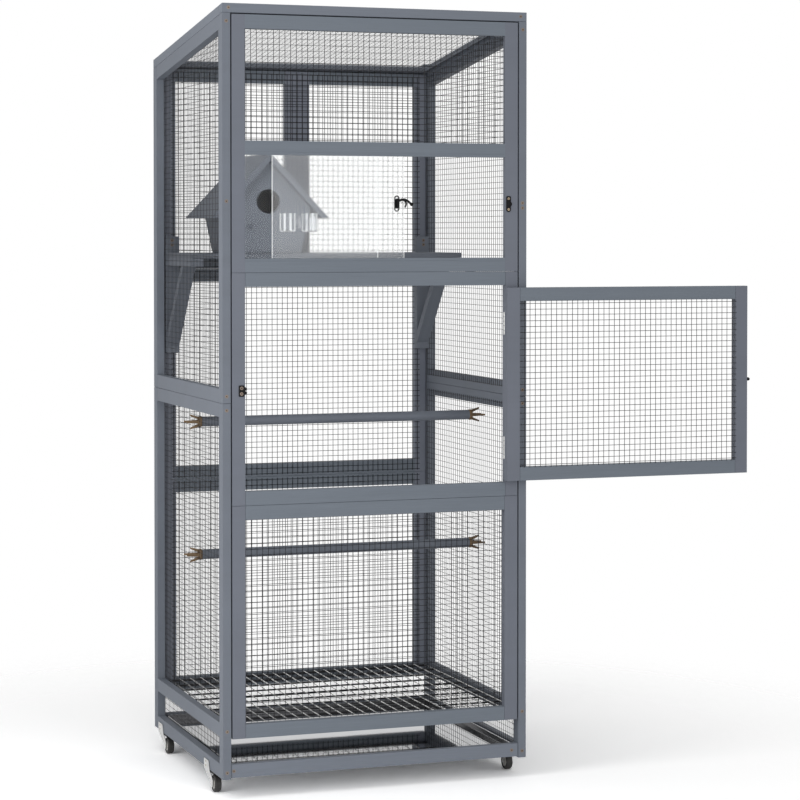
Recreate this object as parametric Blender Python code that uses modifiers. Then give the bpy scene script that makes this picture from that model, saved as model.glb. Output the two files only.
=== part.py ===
# Wooden bird cage on four wheels, in metres, +Z up, front towards -Y.
# The cage's own frame has X = 0 on its left face, Y = 0 on its front face and
# Z = 0 at the foot of its posts. An empty carries that frame, so that the
# world origin is on the floor, in the middle of everything that stands there.

import math

import bmesh
import bpy
from mathutils import Matrix, Vector

# Stock and clearances
BATTEN = 0.030  # width of a batten
THICK = 0.018  # thickness of a batten
TOUCH = 0.0003  # gap left between pieces that rest on each other
SIDE_GAP = 0.0008  # gap between a front or back frame and the side frames
SEAM = 0.0005  # gap between frames that stand on each other

# Cage
WIDTH = 0.695
DEPTH = 0.610
FRONT_HEIGHT = 1.650
ROOF_FALL = 0.080  # from the front of the roof to the back
ROOF_THICK = 0.020
LOW_FRAME_Z = 0.086  # foot of the lowest front and back frames
MIDDLE_FRAME_Z = 0.5835
TOP_FRAME_Z = 1.0795
SIDE_SPLIT_Z = 0.802  # seam between the two frames of a side
SIDE_RAIL_Z = 0.088  # foot of a side's rail above the tray
WINDOW_TOP_Z = 1.330  # underside of the rail over the window
SILL_Z = 0.003
SILL_HEIGHT = 0.029
SILL_THICK = 0.015
SILL_SET_BACK = 0.0015

# Wire cloth and its stand-off from what it is stapled to
WIRE = 0.0012
CLOTH_CORNER = 0.004  # clear space at the end of a cloth
CLOTH_LAP = 0.012  # how far a cloth laps over its frame
MESH_CELLS = 6  # cells between the two perches

# Door
DOOR_HINGE_GAP = 0.002
DOOR_LATCH_GAP = 0.0075
DOOR_TOP_GAP = 0.005
HINGE_INSET = 0.00225  # hinge pin's distance inside the door's edge
HINGE_PROUD = 0.004  # hinge pin's distance in front of the door
HINGE_LENGTH = 0.050
HINGE_LEAF = 0.022
LEAF_THICK = 0.0012
BARREL_RADIUS = 0.0032
HINGE_Z = (0.691, 0.965)  # middles of the two hinges

# Sliding window sheets
SHEET_THICK = 0.003
SHEET_WIDTH = 0.302
GROOVE_DEPTH = 0.0055
SHEET_BITE = 0.005  # how far a sheet stands in its grooves
GROOVE_SLACK = 0.0002
FRONT_SHEET_Y = 0.0057  # middle of the front sheet's thickness
REAR_SHEET_Y = 0.0123
SHEET_END_GAP = 0.001
FRONT_SHEET_X = 0.108  # left edge of the front sheet, slid part way open

# Latches
LATCH_WIDTH = 0.012
LATCH_HEIGHT = 0.035
LATCH_PLATE = 0.0015
LATCH_BARREL = 0.003
LATCH_REACH = 0.035  # from the barrel to the end of the lever
LATCH_KNUCKLE = 0.46  # the lever barrel's share of the plate's height
LEVER_THICK = 0.0024
WINDOW_LATCH_DROP = 0.1024  # from the top of the window down to the latch
WINDOW_LATCH_INSET = 0.0177  # barrel's distance from the sheet's edge
DOOR_LATCH_Z = 0.832
DOOR_LATCH_INSET = 0.0162
LATCH_PROUD = 0.0065  # distance of both barrels in front of the cage's face
KEEPER_WIDTH = 0.012
KEEPER_HEIGHT = 0.024
KEEPER_HOOK = 0.006  # how far a keeper's hook stands out sideways
KEEPER_DROP = 0.004  # how far the door's keeper lies below its latch

# Shelf and its brackets
SHELF_TOP_Z = 1.118
SHELF_THICK = 0.0115
SHELF_FRONT_Y = 0.345
BRACKET_FOOT_Z = 0.884
BRACKET_TOP_Z = 1.156
BRACE_DROP = 0.161  # from the arm down to the brace's lower end
BRACE_RUN = 0.131

# Birdhouse on the shelf
HOUSE_X = 0.206
HOUSE_FRONT_Y = 0.357
HOUSE_LENGTH = 0.200
HOUSE_BASE = 0.156  # width at the floor
HOUSE_EAVES = 0.200  # width under the roof
HOUSE_WALL = 0.010
HOUSE_HALF_SPAN = 0.139
HOUSE_TIP_Z = 1.198
HOUSE_RIDGE_Z = 1.345
HOUSE_ROOF_THICK = 0.012
HOUSE_ROOF_OVERHANG = 0.020
HOUSE_HOLE_RADIUS = 0.0275
HOUSE_HOLE_Z = 1.236
PEG_RADIUS = 0.005
PEG_LENGTH = 0.045
PEG_OFFSET = 0.045
PEG_Z = 1.179

# Perches
PERCH_RADIUS = 0.011
PERCH_Y = 0.283
PERCH_Z = (0.446, 0.743)
CROWN_RADIUS = 0.015
CROWN_LENGTH = 0.007
PRONG = 0.004
PRONG_OUT = 0.009  # how far the prongs stand out of the cage's face
PRONG_SPREAD = 0.009

# Feeder cups on the rear sheet
CUP_RADIUS = 0.019
CUP_HEIGHT = 0.040
CUP_WALL = 0.0015
CUP_FOOT_Z = 1.166
CUP_PITCH = 0.047
CUPS_X = 0.178
CLIP_WIDTH = 0.014

# Grate and tray
GRATE_Z = 0.112
GRATE_WIRE = 0.0024
GRATE_BAR = 0.0040
GRATE_PITCH = 0.0255
GRATE_BARS = 9
RUNNER_HEIGHT = 0.0105
TRAY_SHEET = 0.0010
TRAY_WALL = 0.014
TRAY_SIDE_GAP = 0.0015

# Casters
CASTER_Y = (0.090, 0.505)
WHEEL_RADIUS = 0.0185
WHEEL_WIDTH = 0.016
HUB_RADIUS = 0.010
AXLE_RADIUS = 0.0025
AXLE_SLACK = 0.0003
AXLE_DROP = 0.0255  # axle's distance below the posts' feet
CASTER_PLATE = 0.0015
CASTER_LENGTH = 0.038
CASTER_RISE = 0.019
CASTER_TRAIL = 0.044  # from the axle back to the middle of the plate
WHEEL_SIDE_GAP = 0.0012

# Sizes worked out from the ones above
CLOTH_THICK = 2 * WIRE + TOUCH
INNER_LEFT = THICK
INNER_RIGHT = WIDTH - THICK
INNER_BACK = DEPTH - THICK
CLEAR_LEFT = INNER_LEFT + TOUCH + CLOTH_THICK + TOUCH  # inside face of a side's cloth
CLEAR_RIGHT = WIDTH - CLEAR_LEFT
CLEAR_FRONT = THICK + TOUCH + CLOTH_THICK + TOUCH
CLEAR_BACK = DEPTH - CLEAR_FRONT
FRAME_LEFT = INNER_LEFT + SIDE_GAP
FRAME_RIGHT = INNER_RIGHT - SIDE_GAP
OPEN_LEFT = FRAME_LEFT + BATTEN
OPEN_RIGHT = FRAME_RIGHT - BATTEN
ROOF_SLOPE = ROOF_FALL / DEPTH
CLOTH_PITCH = (PERCH_Z[1] - PERCH_Z[0]) / MESH_CELLS
DOOR_RIGHT = OPEN_RIGHT - DOOR_HINGE_GAP
DOOR_LEFT = OPEN_LEFT + DOOR_LATCH_GAP
DOOR_FOOT = MIDDLE_FRAME_Z + BATTEN + DOOR_TOP_GAP
DOOR_HEAD = TOP_FRAME_Z - SEAM - BATTEN - DOOR_TOP_GAP
HINGE_X = DOOR_RIGHT - HINGE_INSET
HINGE_Y = -HINGE_PROUD
WINDOW_FOOT_Z = TOP_FRAME_Z + BATTEN
WINDOW_LATCH_Z = WINDOW_TOP_Z - WINDOW_LATCH_DROP
WHEEL_X = WHEEL_SIDE_GAP + WHEEL_WIDTH / 2
FLOOR_Z = -AXLE_DROP - WHEEL_RADIUS
LATCH_BARREL_X = DOOR_LEFT + DOOR_LATCH_INSET
OPEN_TIP_X = 2 * HINGE_X - (LATCH_BARREL_X - LATCH_REACH)
OPEN_FACE_Y = 2 * HINGE_Y - THICK - TOUCH - CLOTH_THICK
MIDDLE_X = (OPEN_TIP_X - PRONG_OUT) / 2
MIDDLE_Y = (DEPTH + OPEN_FACE_Y) / 2

# Ways that a flat outline can face
FACING_FRONT = (math.pi / 2, 0, 0)  # outline in X and Z, thickness along Y
FACING_SIDE = (math.pi / 2, 0, math.pi / 2)  # outline in Y and Z, thickness along X
LYING = (0, 0, 0)  # outline in X and Y, thickness along Z

# Colours as seen on the object: colour, roughness, metallic
FINISHES = {
    "grey_wood": ((0.165, 0.190, 0.235), 0.65, 0.0),
    "dark_wire": ((0.030, 0.030, 0.032), 0.45, 0.6),
    "clear_sheet": ((0.85, 0.88, 0.90), 0.08, 0.0),
    "black_metal": ((0.012, 0.012, 0.012), 0.45, 0.5),
    "zinc": ((0.55, 0.56, 0.57), 0.35, 1.0),
    "bright_steel": ((0.62, 0.63, 0.65), 0.12, 1.0),
    "black_rubber": ((0.015, 0.014, 0.014), 0.6, 0.0),
}


def clear_scene():
    for obj in list(bpy.data.objects):
        bpy.data.objects.remove(obj)


def new_collection(name, hidden):
    collection = bpy.data.collections.new(name)
    bpy.context.scene.collection.children.link(collection)
    collection.hide_render = hidden
    return collection


def finish_of(name, finish):
    colour, roughness, metallic = FINISHES[finish]
    material = bpy.data.materials.new(name + "_finish")
    material.use_nodes = True
    shader = material.node_tree.nodes["Principled BSDF"]
    shader.inputs["Base Color"].default_value = (*colour, 1)
    shader.inputs["Roughness"].default_value = roughness
    shader.inputs["Metallic"].default_value = metallic
    material.diffuse_color = (*colour, 1)
    return material


clear_scene()
cage = new_collection("bird_cage", False)
cutters = new_collection("cutters", True)
places = {}  # each empty's place in the cage's frame


def pivot(name, at, parent=None, turn=0.0):
    empty = bpy.data.objects.new(name, None)
    empty.empty_display_size = 0.03
    cage.objects.link(empty)
    places[name] = Vector(at)
    if parent:
        empty.parent = parent
        empty.location = places[name] - places[parent.name]
    else:
        empty.location = Vector((-MIDDLE_X, -MIDDLE_Y, -FLOOR_Z))
        places[name] = Vector((0, 0, 0))
    empty.rotation_euler = (0, 0, turn)
    return empty


def put(obj, at, parent, turn=(0, 0, 0)):
    obj.parent = parent
    obj.location = Vector(at) - places[parent.name]
    obj.rotation_euler = turn
    return obj


def piece(name, data, at, parent, finish, turn=(0, 0, 0)):
    obj = bpy.data.objects.new(name, data)
    cage.objects.link(obj)
    data.materials.append(finish_of(name, finish))
    return put(obj, at, parent, turn)


def helper(name, data, at, parent, turn=(0, 0, 0)):
    obj = bpy.data.objects.new(name, data)
    cutters.objects.link(obj)
    obj.hide_render = True
    obj.display_type = "WIRE"
    return put(obj, at, parent, turn)


def change(obj, other, operation):
    step = obj.modifiers.new(operation.lower(), "BOOLEAN")
    step.operation = operation
    step.solver = "EXACT"
    step.object = other


def box_mesh(name, size):
    mesh = bpy.data.meshes.new(name)
    work = bmesh.new()
    bmesh.ops.create_cube(work, size=1.0)
    bmesh.ops.scale(work, vec=Vector(size), verts=work.verts)
    work.to_mesh(mesh)
    work.free()
    return mesh


def rod_mesh(name, radius, length, sides=24):
    mesh = bpy.data.meshes.new(name)
    work = bmesh.new()
    bmesh.ops.create_cone(work, cap_ends=True, segments=sides, radius1=radius, radius2=radius, depth=length)
    work.to_mesh(mesh)
    work.free()
    mesh.shade_smooth()
    mesh.set_sharp_from_angle(angle=math.radians(40))
    return mesh


def middle(low, high):
    return (Vector(low) + Vector(high)) / 2


def box_piece(name, low, high, parent, finish):
    return piece(name, box_mesh(name, Vector(high) - Vector(low)), middle(low, high), parent, finish)


def box_helper(name, low, high, parent):
    return helper(name, box_mesh(name, Vector(high) - Vector(low)), middle(low, high), parent)


def outline_mesh(name, rings, thick):
    curve = bpy.data.curves.new(name, "CURVE")
    curve.dimensions = "2D"
    curve.fill_mode = "BOTH"
    curve.extrude = thick / 2
    for ring in rings:
        spline = curve.splines.new("POLY")
        spline.points.add(len(ring) - 1)
        for point, (u, v) in zip(spline.points, ring):
            point.co = (u, v, 0, 1)
        spline.use_cyclic_u = True
    shape = bpy.data.objects.new(name, curve)
    bpy.context.scene.collection.objects.link(shape)
    bpy.context.view_layer.update()
    found = shape.evaluated_get(bpy.context.evaluated_depsgraph_get())
    mesh = bpy.data.meshes.new_from_object(found)
    bpy.data.objects.remove(shape)
    work = bmesh.new()
    work.from_mesh(mesh)
    bmesh.ops.remove_doubles(work, verts=work.verts, dist=0.00001)
    work.to_mesh(mesh)
    work.free()
    mesh.materials.clear()
    return mesh


def rectangle(u0, v0, u1, v1):
    return [(u0, v0), (u1, v0), (u1, v1), (u0, v1)]


def flat_piece(name, rings, thick, at, facing, parent, finish):
    return piece(name, outline_mesh(name, rings, thick), at, parent, finish, facing)


def turned_mesh(name, profile, sides=32):
    """Outline of radius and height turned about Z; closed where its last point is its first."""
    closed = profile[0] == profile[-1]
    mesh = bpy.data.meshes.new(name)
    work = bmesh.new()
    rim = [work.verts.new((radius, 0, height)) for radius, height in profile[: -1 if closed else None]]
    for first, second in zip(rim, rim[1:]):
        work.edges.new((first, second))
    if closed:
        work.edges.new((rim[-1], rim[0]))
    work.to_mesh(mesh)
    work.free()
    shape = bpy.data.objects.new(name, mesh)
    bpy.context.scene.collection.objects.link(shape)
    turn = shape.modifiers.new("turn", "SCREW")
    turn.steps = sides
    turn.render_steps = sides
    turn.use_merge_vertices = True
    turn.merge_threshold = 0.00001
    bpy.context.view_layer.update()
    found = shape.evaluated_get(bpy.context.evaluated_depsgraph_get())
    result = bpy.data.meshes.new_from_object(found)
    bpy.data.objects.remove(shape)
    result.shade_smooth()
    result.set_sharp_from_angle(angle=math.radians(35))
    return result


def roof_underside(y):
    return FRONT_HEIGHT - ROOF_THICK - ROOF_SLOPE * y


# Wooden frames
def front_frame(name, left, right, foot, head, openings, y, parent):
    rings = [rectangle(left, foot, right, head)] + [rectangle(*hole) for hole in openings]
    return flat_piece(name, rings, THICK, (0, y, 0), FACING_FRONT, parent, "grey_wood")


def side_frame_rings(upper):
    back = DEPTH - BATTEN
    if not upper:
        head = SIDE_SPLIT_Z - SEAM / 2
        return [
            rectangle(0, 0, DEPTH, head),
            rectangle(BATTEN, BATTEN, back, SIDE_RAIL_Z),
            rectangle(BATTEN, SIDE_RAIL_Z + BATTEN, back, head - BATTEN),
        ]
    foot = SIDE_SPLIT_Z + SEAM / 2
    rail = BATTEN * math.sqrt(1 + ROOF_SLOPE**2) + TOUCH
    outer = [(0, foot), (DEPTH, foot)]
    outer += [(DEPTH, roof_underside(DEPTH) - TOUCH), (0, roof_underside(0) - TOUCH)]
    inner = [(BATTEN, foot + BATTEN), (back, foot + BATTEN)]
    inner += [(back, roof_underside(back) - rail), (BATTEN, roof_underside(BATTEN) - rail)]
    return [outer, inner]


def build_sides(parent):
    for side, x in (("left", THICK / 2), ("right", WIDTH - THICK / 2)):
        for level, upper in (("lower", False), ("upper", True)):
            name = f"{side}_{level}_frame"
            rings = side_frame_rings(upper)
            flat_piece(name, rings, THICK, (x, 0, 0), FACING_SIDE, parent, "grey_wood")


def build_back(parent):
    y = DEPTH - THICK / 2
    rail = BATTEN
    heads = (MIDDLE_FRAME_Z - SEAM, TOP_FRAME_Z - SEAM)
    feet = (LOW_FRAME_Z, MIDDLE_FRAME_Z)
    for name, foot, head in zip(("back_lower_frame", "back_middle_frame"), feet, heads):
        hole = (OPEN_LEFT, foot + rail, OPEN_RIGHT, head - rail)
        front_frame(name, FRAME_LEFT, FRAME_RIGHT, foot, head, [hole], y, parent)
    head = roof_underside(DEPTH) - SEAM
    halves = ((FRAME_LEFT, WIDTH / 2 - SEAM / 2), (WIDTH / 2 + SEAM / 2, FRAME_RIGHT))
    for side, (left, right) in zip(("left", "right"), halves):
        hole = (left + rail, TOP_FRAME_Z + rail, right - rail, head - rail)
        front_frame(f"back_upper_{side}_frame", left, right, TOP_FRAME_Z, head, [hole], y, parent)
    low = (FRAME_LEFT, DEPTH - SILL_SET_BACK - SILL_THICK, SILL_Z)
    high = (FRAME_RIGHT, DEPTH - SILL_SET_BACK, SILL_Z + SILL_HEIGHT)
    box_piece("back_sill", low, high, parent, "grey_wood")


def build_front(parent):
    y = THICK / 2
    rail = BATTEN
    foot, head = LOW_FRAME_Z, MIDDLE_FRAME_Z - SEAM
    hole = (OPEN_LEFT, foot + rail, OPEN_RIGHT, head - rail)
    front_frame("front_lower_frame", FRAME_LEFT, FRAME_RIGHT, foot, head, [hole], y, parent)
    foot, head = MIDDLE_FRAME_Z, TOP_FRAME_Z - SEAM
    hole = (OPEN_LEFT, foot + rail, OPEN_RIGHT, head - rail)
    front_frame("front_middle_frame", FRAME_LEFT, FRAME_RIGHT, foot, head, [hole], y, parent)
    foot, head = TOP_FRAME_Z, roof_underside(THICK) - SEAM
    window = (OPEN_LEFT, WINDOW_FOOT_Z, OPEN_RIGHT, WINDOW_TOP_Z)
    screen = (OPEN_LEFT, WINDOW_TOP_Z + rail, OPEN_RIGHT, head - rail)
    name = "front_upper_frame"
    frame = front_frame(name, FRAME_LEFT, FRAME_RIGHT, foot, head, [window, screen], y, parent)
    groove = SHEET_THICK / 2 + GROOVE_SLACK
    for label, middle_y in (("front", FRONT_SHEET_Y), ("rear", REAR_SHEET_Y)):
        low = (OPEN_LEFT, middle_y - groove, WINDOW_FOOT_Z - GROOVE_DEPTH)
        high = (OPEN_RIGHT, middle_y + groove, WINDOW_TOP_Z + GROOVE_DEPTH)
        change(frame, box_helper(f"{label}_groove", low, high, parent), "DIFFERENCE")


def build_roof(parent):
    rings = [
        rectangle(0, 0, WIDTH, DEPTH),
        rectangle(BATTEN, BATTEN, WIDTH - BATTEN, DEPTH - BATTEN),
    ]
    mesh = outline_mesh("roof_frame", rings, ROOF_THICK)
    for vertex in mesh.vertices:
        vertex.co.z -= ROOF_SLOPE * vertex.co.y
    piece("roof_frame", mesh, (0, 0, FRONT_HEIGHT - ROOF_THICK / 2), parent, "grey_wood")


# Wire cloth: uprights on one comb and cross wires on another, joined in a corner
def comb(start, end, root, tips, places_along, gauge):
    """Outline of a spine from start to end at root, with a tooth at each place, as long as tips says."""
    ring = [(start, root), (end, root), (end, root + gauge)]
    for at in sorted(places_along, reverse=True):
        tip = tips(at)
        ring += [(at + gauge / 2, root + gauge), (at + gauge / 2, tip)]
        ring += [(at - gauge / 2, tip), (at - gauge / 2, root + gauge)]
    ring.append((start, root + gauge))
    return ring


def steps_between(low, high, through, pitch):
    """Places a pitch apart, one of them half a pitch from the given point, clear of both ends."""
    first = through + pitch / 2
    first -= math.floor((first - low) / pitch) * pitch
    count = int((high - first) / pitch) + 1
    return [first + step * pitch for step in range(count)]


def cloth_mesh(name, box, through, tips_up=None, tips_across=None, gauges=(WIRE, WIRE), pitches=None):
    """Cloth over box = (u0, v0, u1, v1), whose cells have one centred on the given point."""
    u0, v0, u1, v1 = box
    pitches = pitches or (CLOTH_PITCH, CLOTH_PITCH)
    up, across = gauges
    margin = 2 * max(gauges)
    columns = steps_between(u0 + margin, u1 - margin, through[0], pitches[0])
    rows = steps_between(v0 + margin, v1 - margin, through[1], pitches[1])
    tips_up = tips_up or (lambda at: v1)
    tips_across = tips_across or (lambda at: u1)
    uprights = comb(u0, u1, v0, tips_up, columns, up)
    crosses = outline_mesh(name + "_cross", [comb(v0, v1, u0, tips_across, rows, across)], across)
    crosses.transform(Matrix(((0, 1, 0, 0), (1, 0, 0, 0), (0, 0, -1, 0), (0, 0, 0, 1))))
    spacing = (up + across) / 2 + TOUCH
    return outline_mesh(name, [uprights], up), crosses, spacing


def cloth(name, box, through, at, facing, parent, finish="dark_wire", slope=0.0, **options):
    """The cross wires lie above the uprights along the facing's own normal."""
    uprights, crosses, spacing = cloth_mesh(name, box, through, **options)
    up, across = options.get("gauges", (WIRE, WIRE))
    inset = min(up, across) / 4
    u0, v0 = box[:2]
    core = box_mesh(name + "_corner", (inset * 2, inset * 2, spacing))
    for vertex in core.vertices:
        vertex.co.x += u0 + inset * 2
        vertex.co.y += v0 + inset * 2
        vertex.co.z += spacing / 2
    for vertex in crosses.vertices:
        vertex.co.z += spacing
    for mesh in (uprights, crosses, core):
        for vertex in mesh.vertices:
            vertex.co.z -= slope * vertex.co.y
    obj = piece(name, uprights, at, parent, finish, facing)
    change(obj, helper(name + "_corner", core, at, parent, facing), "UNION")
    change(obj, helper(name + "_cross", crosses, at, parent, facing), "UNION")
    return obj


def build_side_cloths(parent):
    near, far = CLEAR_FRONT + CLOTH_CORNER, CLEAR_BACK - CLOTH_CORNER
    offset = TOUCH + WIRE / 2
    sides = (("left", INNER_LEFT + offset), ("right", INNER_RIGHT - offset - WIRE - TOUCH))
    foot, head = BATTEN - CLOTH_LAP, SIDE_SPLIT_Z - CLOTH_CORNER
    under = CLOTH_CORNER + CLOTH_THICK

    def top_at(y):
        return roof_underside(y) - under

    def end_at(z):
        return min(far, (FRONT_HEIGHT - ROOF_THICK - under - z) / ROOF_SLOPE)

    for side, x in sides:
        through = (PERCH_Y + CLOTH_PITCH / 2, PERCH_Z[0] + CLOTH_PITCH / 2)
        box = (near, foot, far, head)
        cloth(f"{side}_lower_cloth", box, through, (x, 0, 0), FACING_SIDE, parent)
        box = (near, SIDE_SPLIT_Z + CLOTH_CORNER, far, top_at(near) - CLOTH_CORNER)
        options = {"tips_up": top_at, "tips_across": end_at}
        cloth(f"{side}_upper_cloth", box, through, (x, 0, 0), FACING_SIDE, parent, **options)


def front_cloth(name, left, right, foot, head, y, parent):
    through = ((left + right) / 2, (foot + head) / 2)
    cloth(name, (left, foot, right, head), through, (0, y, 0), FACING_FRONT, parent)


def build_front_and_back_cloths(parent):
    left, right = OPEN_LEFT - CLOTH_LAP, OPEN_RIGHT + CLOTH_LAP
    gap = CLOTH_CORNER
    near = THICK + TOUCH + WIRE / 2 + WIRE + TOUCH
    far = INNER_BACK - TOUCH - WIRE / 2
    low, top = LOW_FRAME_Z + gap, roof_underside(DEPTH) - gap - CLOTH_THICK
    front_cloth("front_lower_cloth", left, right, low, MIDDLE_FRAME_Z - gap, near, parent)
    head = roof_underside(CLEAR_FRONT) - gap - CLOTH_THICK
    front_cloth("front_upper_cloth", left, right, WINDOW_TOP_Z + gap, head, near, parent)
    front_cloth("back_lower_cloth", left, right, low, MIDDLE_FRAME_Z - gap, far, parent)
    front_cloth("back_middle_cloth", left, right, MIDDLE_FRAME_Z + gap, TOP_FRAME_Z - gap, far, parent)
    front_cloth("back_upper_cloth", left, right, TOP_FRAME_Z + gap, top, far, parent)


def build_roof_cloth(parent):
    left, right = CLEAR_LEFT + CLOTH_CORNER, CLEAR_RIGHT - CLOTH_CORNER
    near, far = CLEAR_FRONT + CLOTH_CORNER, CLEAR_BACK - CLOTH_CORNER
    under = FRONT_HEIGHT - ROOF_THICK - TOUCH - WIRE - TOUCH - WIRE / 2
    through = (WIDTH / 2, DEPTH / 2)
    cloth("roof_cloth", (left, near, right, far), through, (0, 0, under), LYING, parent, slope=ROOF_SLOPE)


# Door, hung on two butt hinges and swung right round
def build_door(parent):
    hole = (DOOR_LEFT + BATTEN, DOOR_FOOT + BATTEN, DOOR_RIGHT - BATTEN, DOOR_HEAD - BATTEN)
    holes = [hole]
    front_frame("door_frame", DOOR_LEFT, DOOR_RIGHT, DOOR_FOOT, DOOR_HEAD, holes, THICK / 2, parent)
    lap = CLOTH_LAP
    y = THICK + TOUCH + WIRE / 2 + WIRE + TOUCH
    front_cloth("door_cloth", hole[0] - lap, hole[2] + lap, hole[1] - lap, hole[3] + lap, y, parent)


def hinge_leaf(name, z, side, upper, parent):
    """One leaf: side is 1 on the post and -1 on the door, and its barrel is the upper or lower half."""
    half = HINGE_LENGTH / 2
    face = -TOUCH - LEAF_THICK / 2
    clear = BARREL_RADIUS + TOUCH * 2
    rod = HINGE_LENGTH / 2 - TOUCH
    barrel_z = z + half / 2 * (1 if upper else -1)
    size = (HINGE_LEAF - clear, LEAF_THICK, HINGE_LENGTH)
    at = (HINGE_X + side * (clear + HINGE_LEAF) / 2, face, z)
    leaf = piece(name, box_mesh(name, size), at, parent, "zinc")
    tab = box_mesh(name + "_tab", (clear + LEAF_THICK, LEAF_THICK * 0.9, rod - TOUCH))
    tab_x = HINGE_X + side * (clear + LEAF_THICK) / 2
    change(leaf, helper(name + "_tab", tab, (tab_x, face, barrel_z), parent), "UNION")
    barrel = rod_mesh(name + "_barrel", BARREL_RADIUS, rod, 16)
    change(leaf, helper(name + "_barrel", barrel, (HINGE_X, HINGE_Y, barrel_z), parent), "UNION")


def build_hinges(parent, door):
    for label, z in zip(("lower", "upper"), HINGE_Z):
        hinge_leaf(f"{label}_hinge_post_leaf", z, 1, False, parent)
        hinge_leaf(f"{label}_hinge_door_leaf", z, -1, True, door)


# Latches: a screwed plate with a barrel, and a hooked lever that swings out of its plane
def latch_plate(name, x, y, z, face_y, parent):
    low = (x - LATCH_WIDTH / 2, face_y - TOUCH - LATCH_PLATE, z - LATCH_HEIGHT / 2)
    high = (x + LATCH_WIDTH / 2, face_y - TOUCH, z + LATCH_HEIGHT / 2)
    plate = box_piece(name, low, high, parent, "black_metal")
    ear = LATCH_HEIGHT * 0.08
    out = LATCH_HEIGHT * LATCH_KNUCKLE / 2 + ear / 2
    for label, offset in (("top", out), ("bottom", -out)):
        rod = rod_mesh(f"{name}_{label}", LATCH_BARREL, ear, 16)
        change(plate, helper(f"{name}_{label}", rod, (x, y, z + offset), parent), "UNION")
        ear_low = (x - LATCH_BARREL * 0.8, y, z + offset - ear * 0.45)
        ear_high = (x + LATCH_BARREL * 0.8, face_y - TOUCH - LATCH_PLATE / 2, z + offset + ear * 0.45)
        change(plate, box_helper(f"{name}_{label}_ear", ear_low, ear_high, parent), "UNION")


def latch_lever(name, z, side, lever):
    """Hooked lever reaching along X on the given side from its barrel."""
    x, y = places[lever.name].x, places[lever.name].y
    rod = rod_mesh(name, LATCH_BARREL, LATCH_HEIGHT * LATCH_KNUCKLE - TOUCH * 2, 16)
    barrel = piece(name, rod, (x, y, z), lever, "black_metal")
    top = [(0.0, 0.19), (0.16, 0.22), (0.33, 0.26), (0.48, 0.24), (0.66, 0.13), (0.84, -0.01)]
    below = [(0.82, -0.08), (0.64, 0.05), (0.55, 0.13)]
    finger = [(0.56, 0.02), (0.55, -0.12), (0.49, -0.26), (0.43, -0.23), (0.48, -0.10), (0.49, 0.02), (0.46, 0.15)]
    start = [(0.33, 0.18), (0.16, 0.14), (0.0, 0.11)]
    ring = [(side * u * LATCH_REACH, v * LATCH_REACH) for u, v in top + below + finger + start]
    bar = outline_mesh(name + "_bar", [ring[::-side]], LEVER_THICK)
    change(barrel, helper(name + "_bar", bar, (x, y, z), lever, FACING_FRONT), "UNION")
    knob = bpy.data.meshes.new(name + "_knob")
    work = bmesh.new()
    bmesh.ops.create_icosphere(work, subdivisions=2, radius=LATCH_REACH * 0.12)
    work.to_mesh(knob)
    work.free()
    knob_at = (x + side * LATCH_REACH * 0.88, y, z - LATCH_REACH * 0.05)
    change(barrel, helper(name + "_knob", knob, knob_at, lever), "UNION")


def keeper(name, x, z, height, parent):
    """Plate on the post with a hook standing out of its right edge."""
    low = (x - KEEPER_WIDTH / 2, -TOUCH - LATCH_PLATE, z - height / 2)
    high = (x + KEEPER_WIDTH / 2, -TOUCH, z + height / 2)
    plate = box_piece(name, low, high, parent, "black_metal")
    hook_low = (x + KEEPER_WIDTH * 0.2, -LATCH_PLATE * 1.4, z - KEEPER_HEIGHT / 4)
    hook_high = (x + KEEPER_WIDTH / 2 + KEEPER_HOOK, -TOUCH - LATCH_PLATE / 2, z + KEEPER_HEIGHT / 4)
    change(plate, box_helper(name + "_hook", hook_low, hook_high, parent), "UNION")


# Sliding window of two clear sheets
def window_sheet(name, left, middle_y, parent):
    low = (left, middle_y - SHEET_THICK / 2, WINDOW_FOOT_Z - SHEET_BITE)
    high = (left + SHEET_WIDTH, middle_y + SHEET_THICK / 2, WINDOW_TOP_Z + SHEET_BITE)
    return box_piece(name, low, high, parent, "clear_sheet")


def build_feeder(parent):
    face = REAR_SHEET_Y + SHEET_THICK / 2 + TOUCH
    y = face + CUP_RADIUS + CUP_WALL
    inner = CUP_RADIUS - CUP_WALL
    foot, rim = CUP_FOOT_Z, CUP_FOOT_Z + CUP_HEIGHT
    low = (CUPS_X - CLIP_WIDTH / 2, face, foot + CUP_HEIGHT * 0.2)
    high = (CUPS_X + CLIP_WIDTH / 2, face + CUP_WALL, rim - CUP_HEIGHT * 0.1)
    rack = box_piece("feeder_cups", low, high, parent, "clear_sheet")
    arm_low = (CUPS_X - CUP_PITCH * 0.4, face + CUP_WALL / 2, foot + CUP_HEIGHT * 0.4)
    arm_high = (CUPS_X + CUP_PITCH * 0.4, face + CUP_RADIUS / 2, foot + CUP_HEIGHT * 0.7)
    change(rack, box_helper("feeder_arm", arm_low, arm_high, parent), "UNION")
    for label, side in (("left", -1), ("right", 1)):
        wall = rod_mesh(f"{label}_cup", CUP_RADIUS, CUP_HEIGHT, 32)
        at = (CUPS_X + side * CUP_PITCH / 2, y, foot + CUP_HEIGHT / 2)
        change(rack, helper(f"{label}_cup", wall, at, parent), "UNION")
    for label, side in (("left", -1), ("right", 1)):
        room = rod_mesh(f"{label}_room", inner, CUP_HEIGHT, 32)
        at = (CUPS_X + side * CUP_PITCH / 2, y, foot + CUP_HEIGHT / 2 + CUP_WALL)
        change(rack, helper(f"{label}_room", room, at, parent), "DIFFERENCE")


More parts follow.
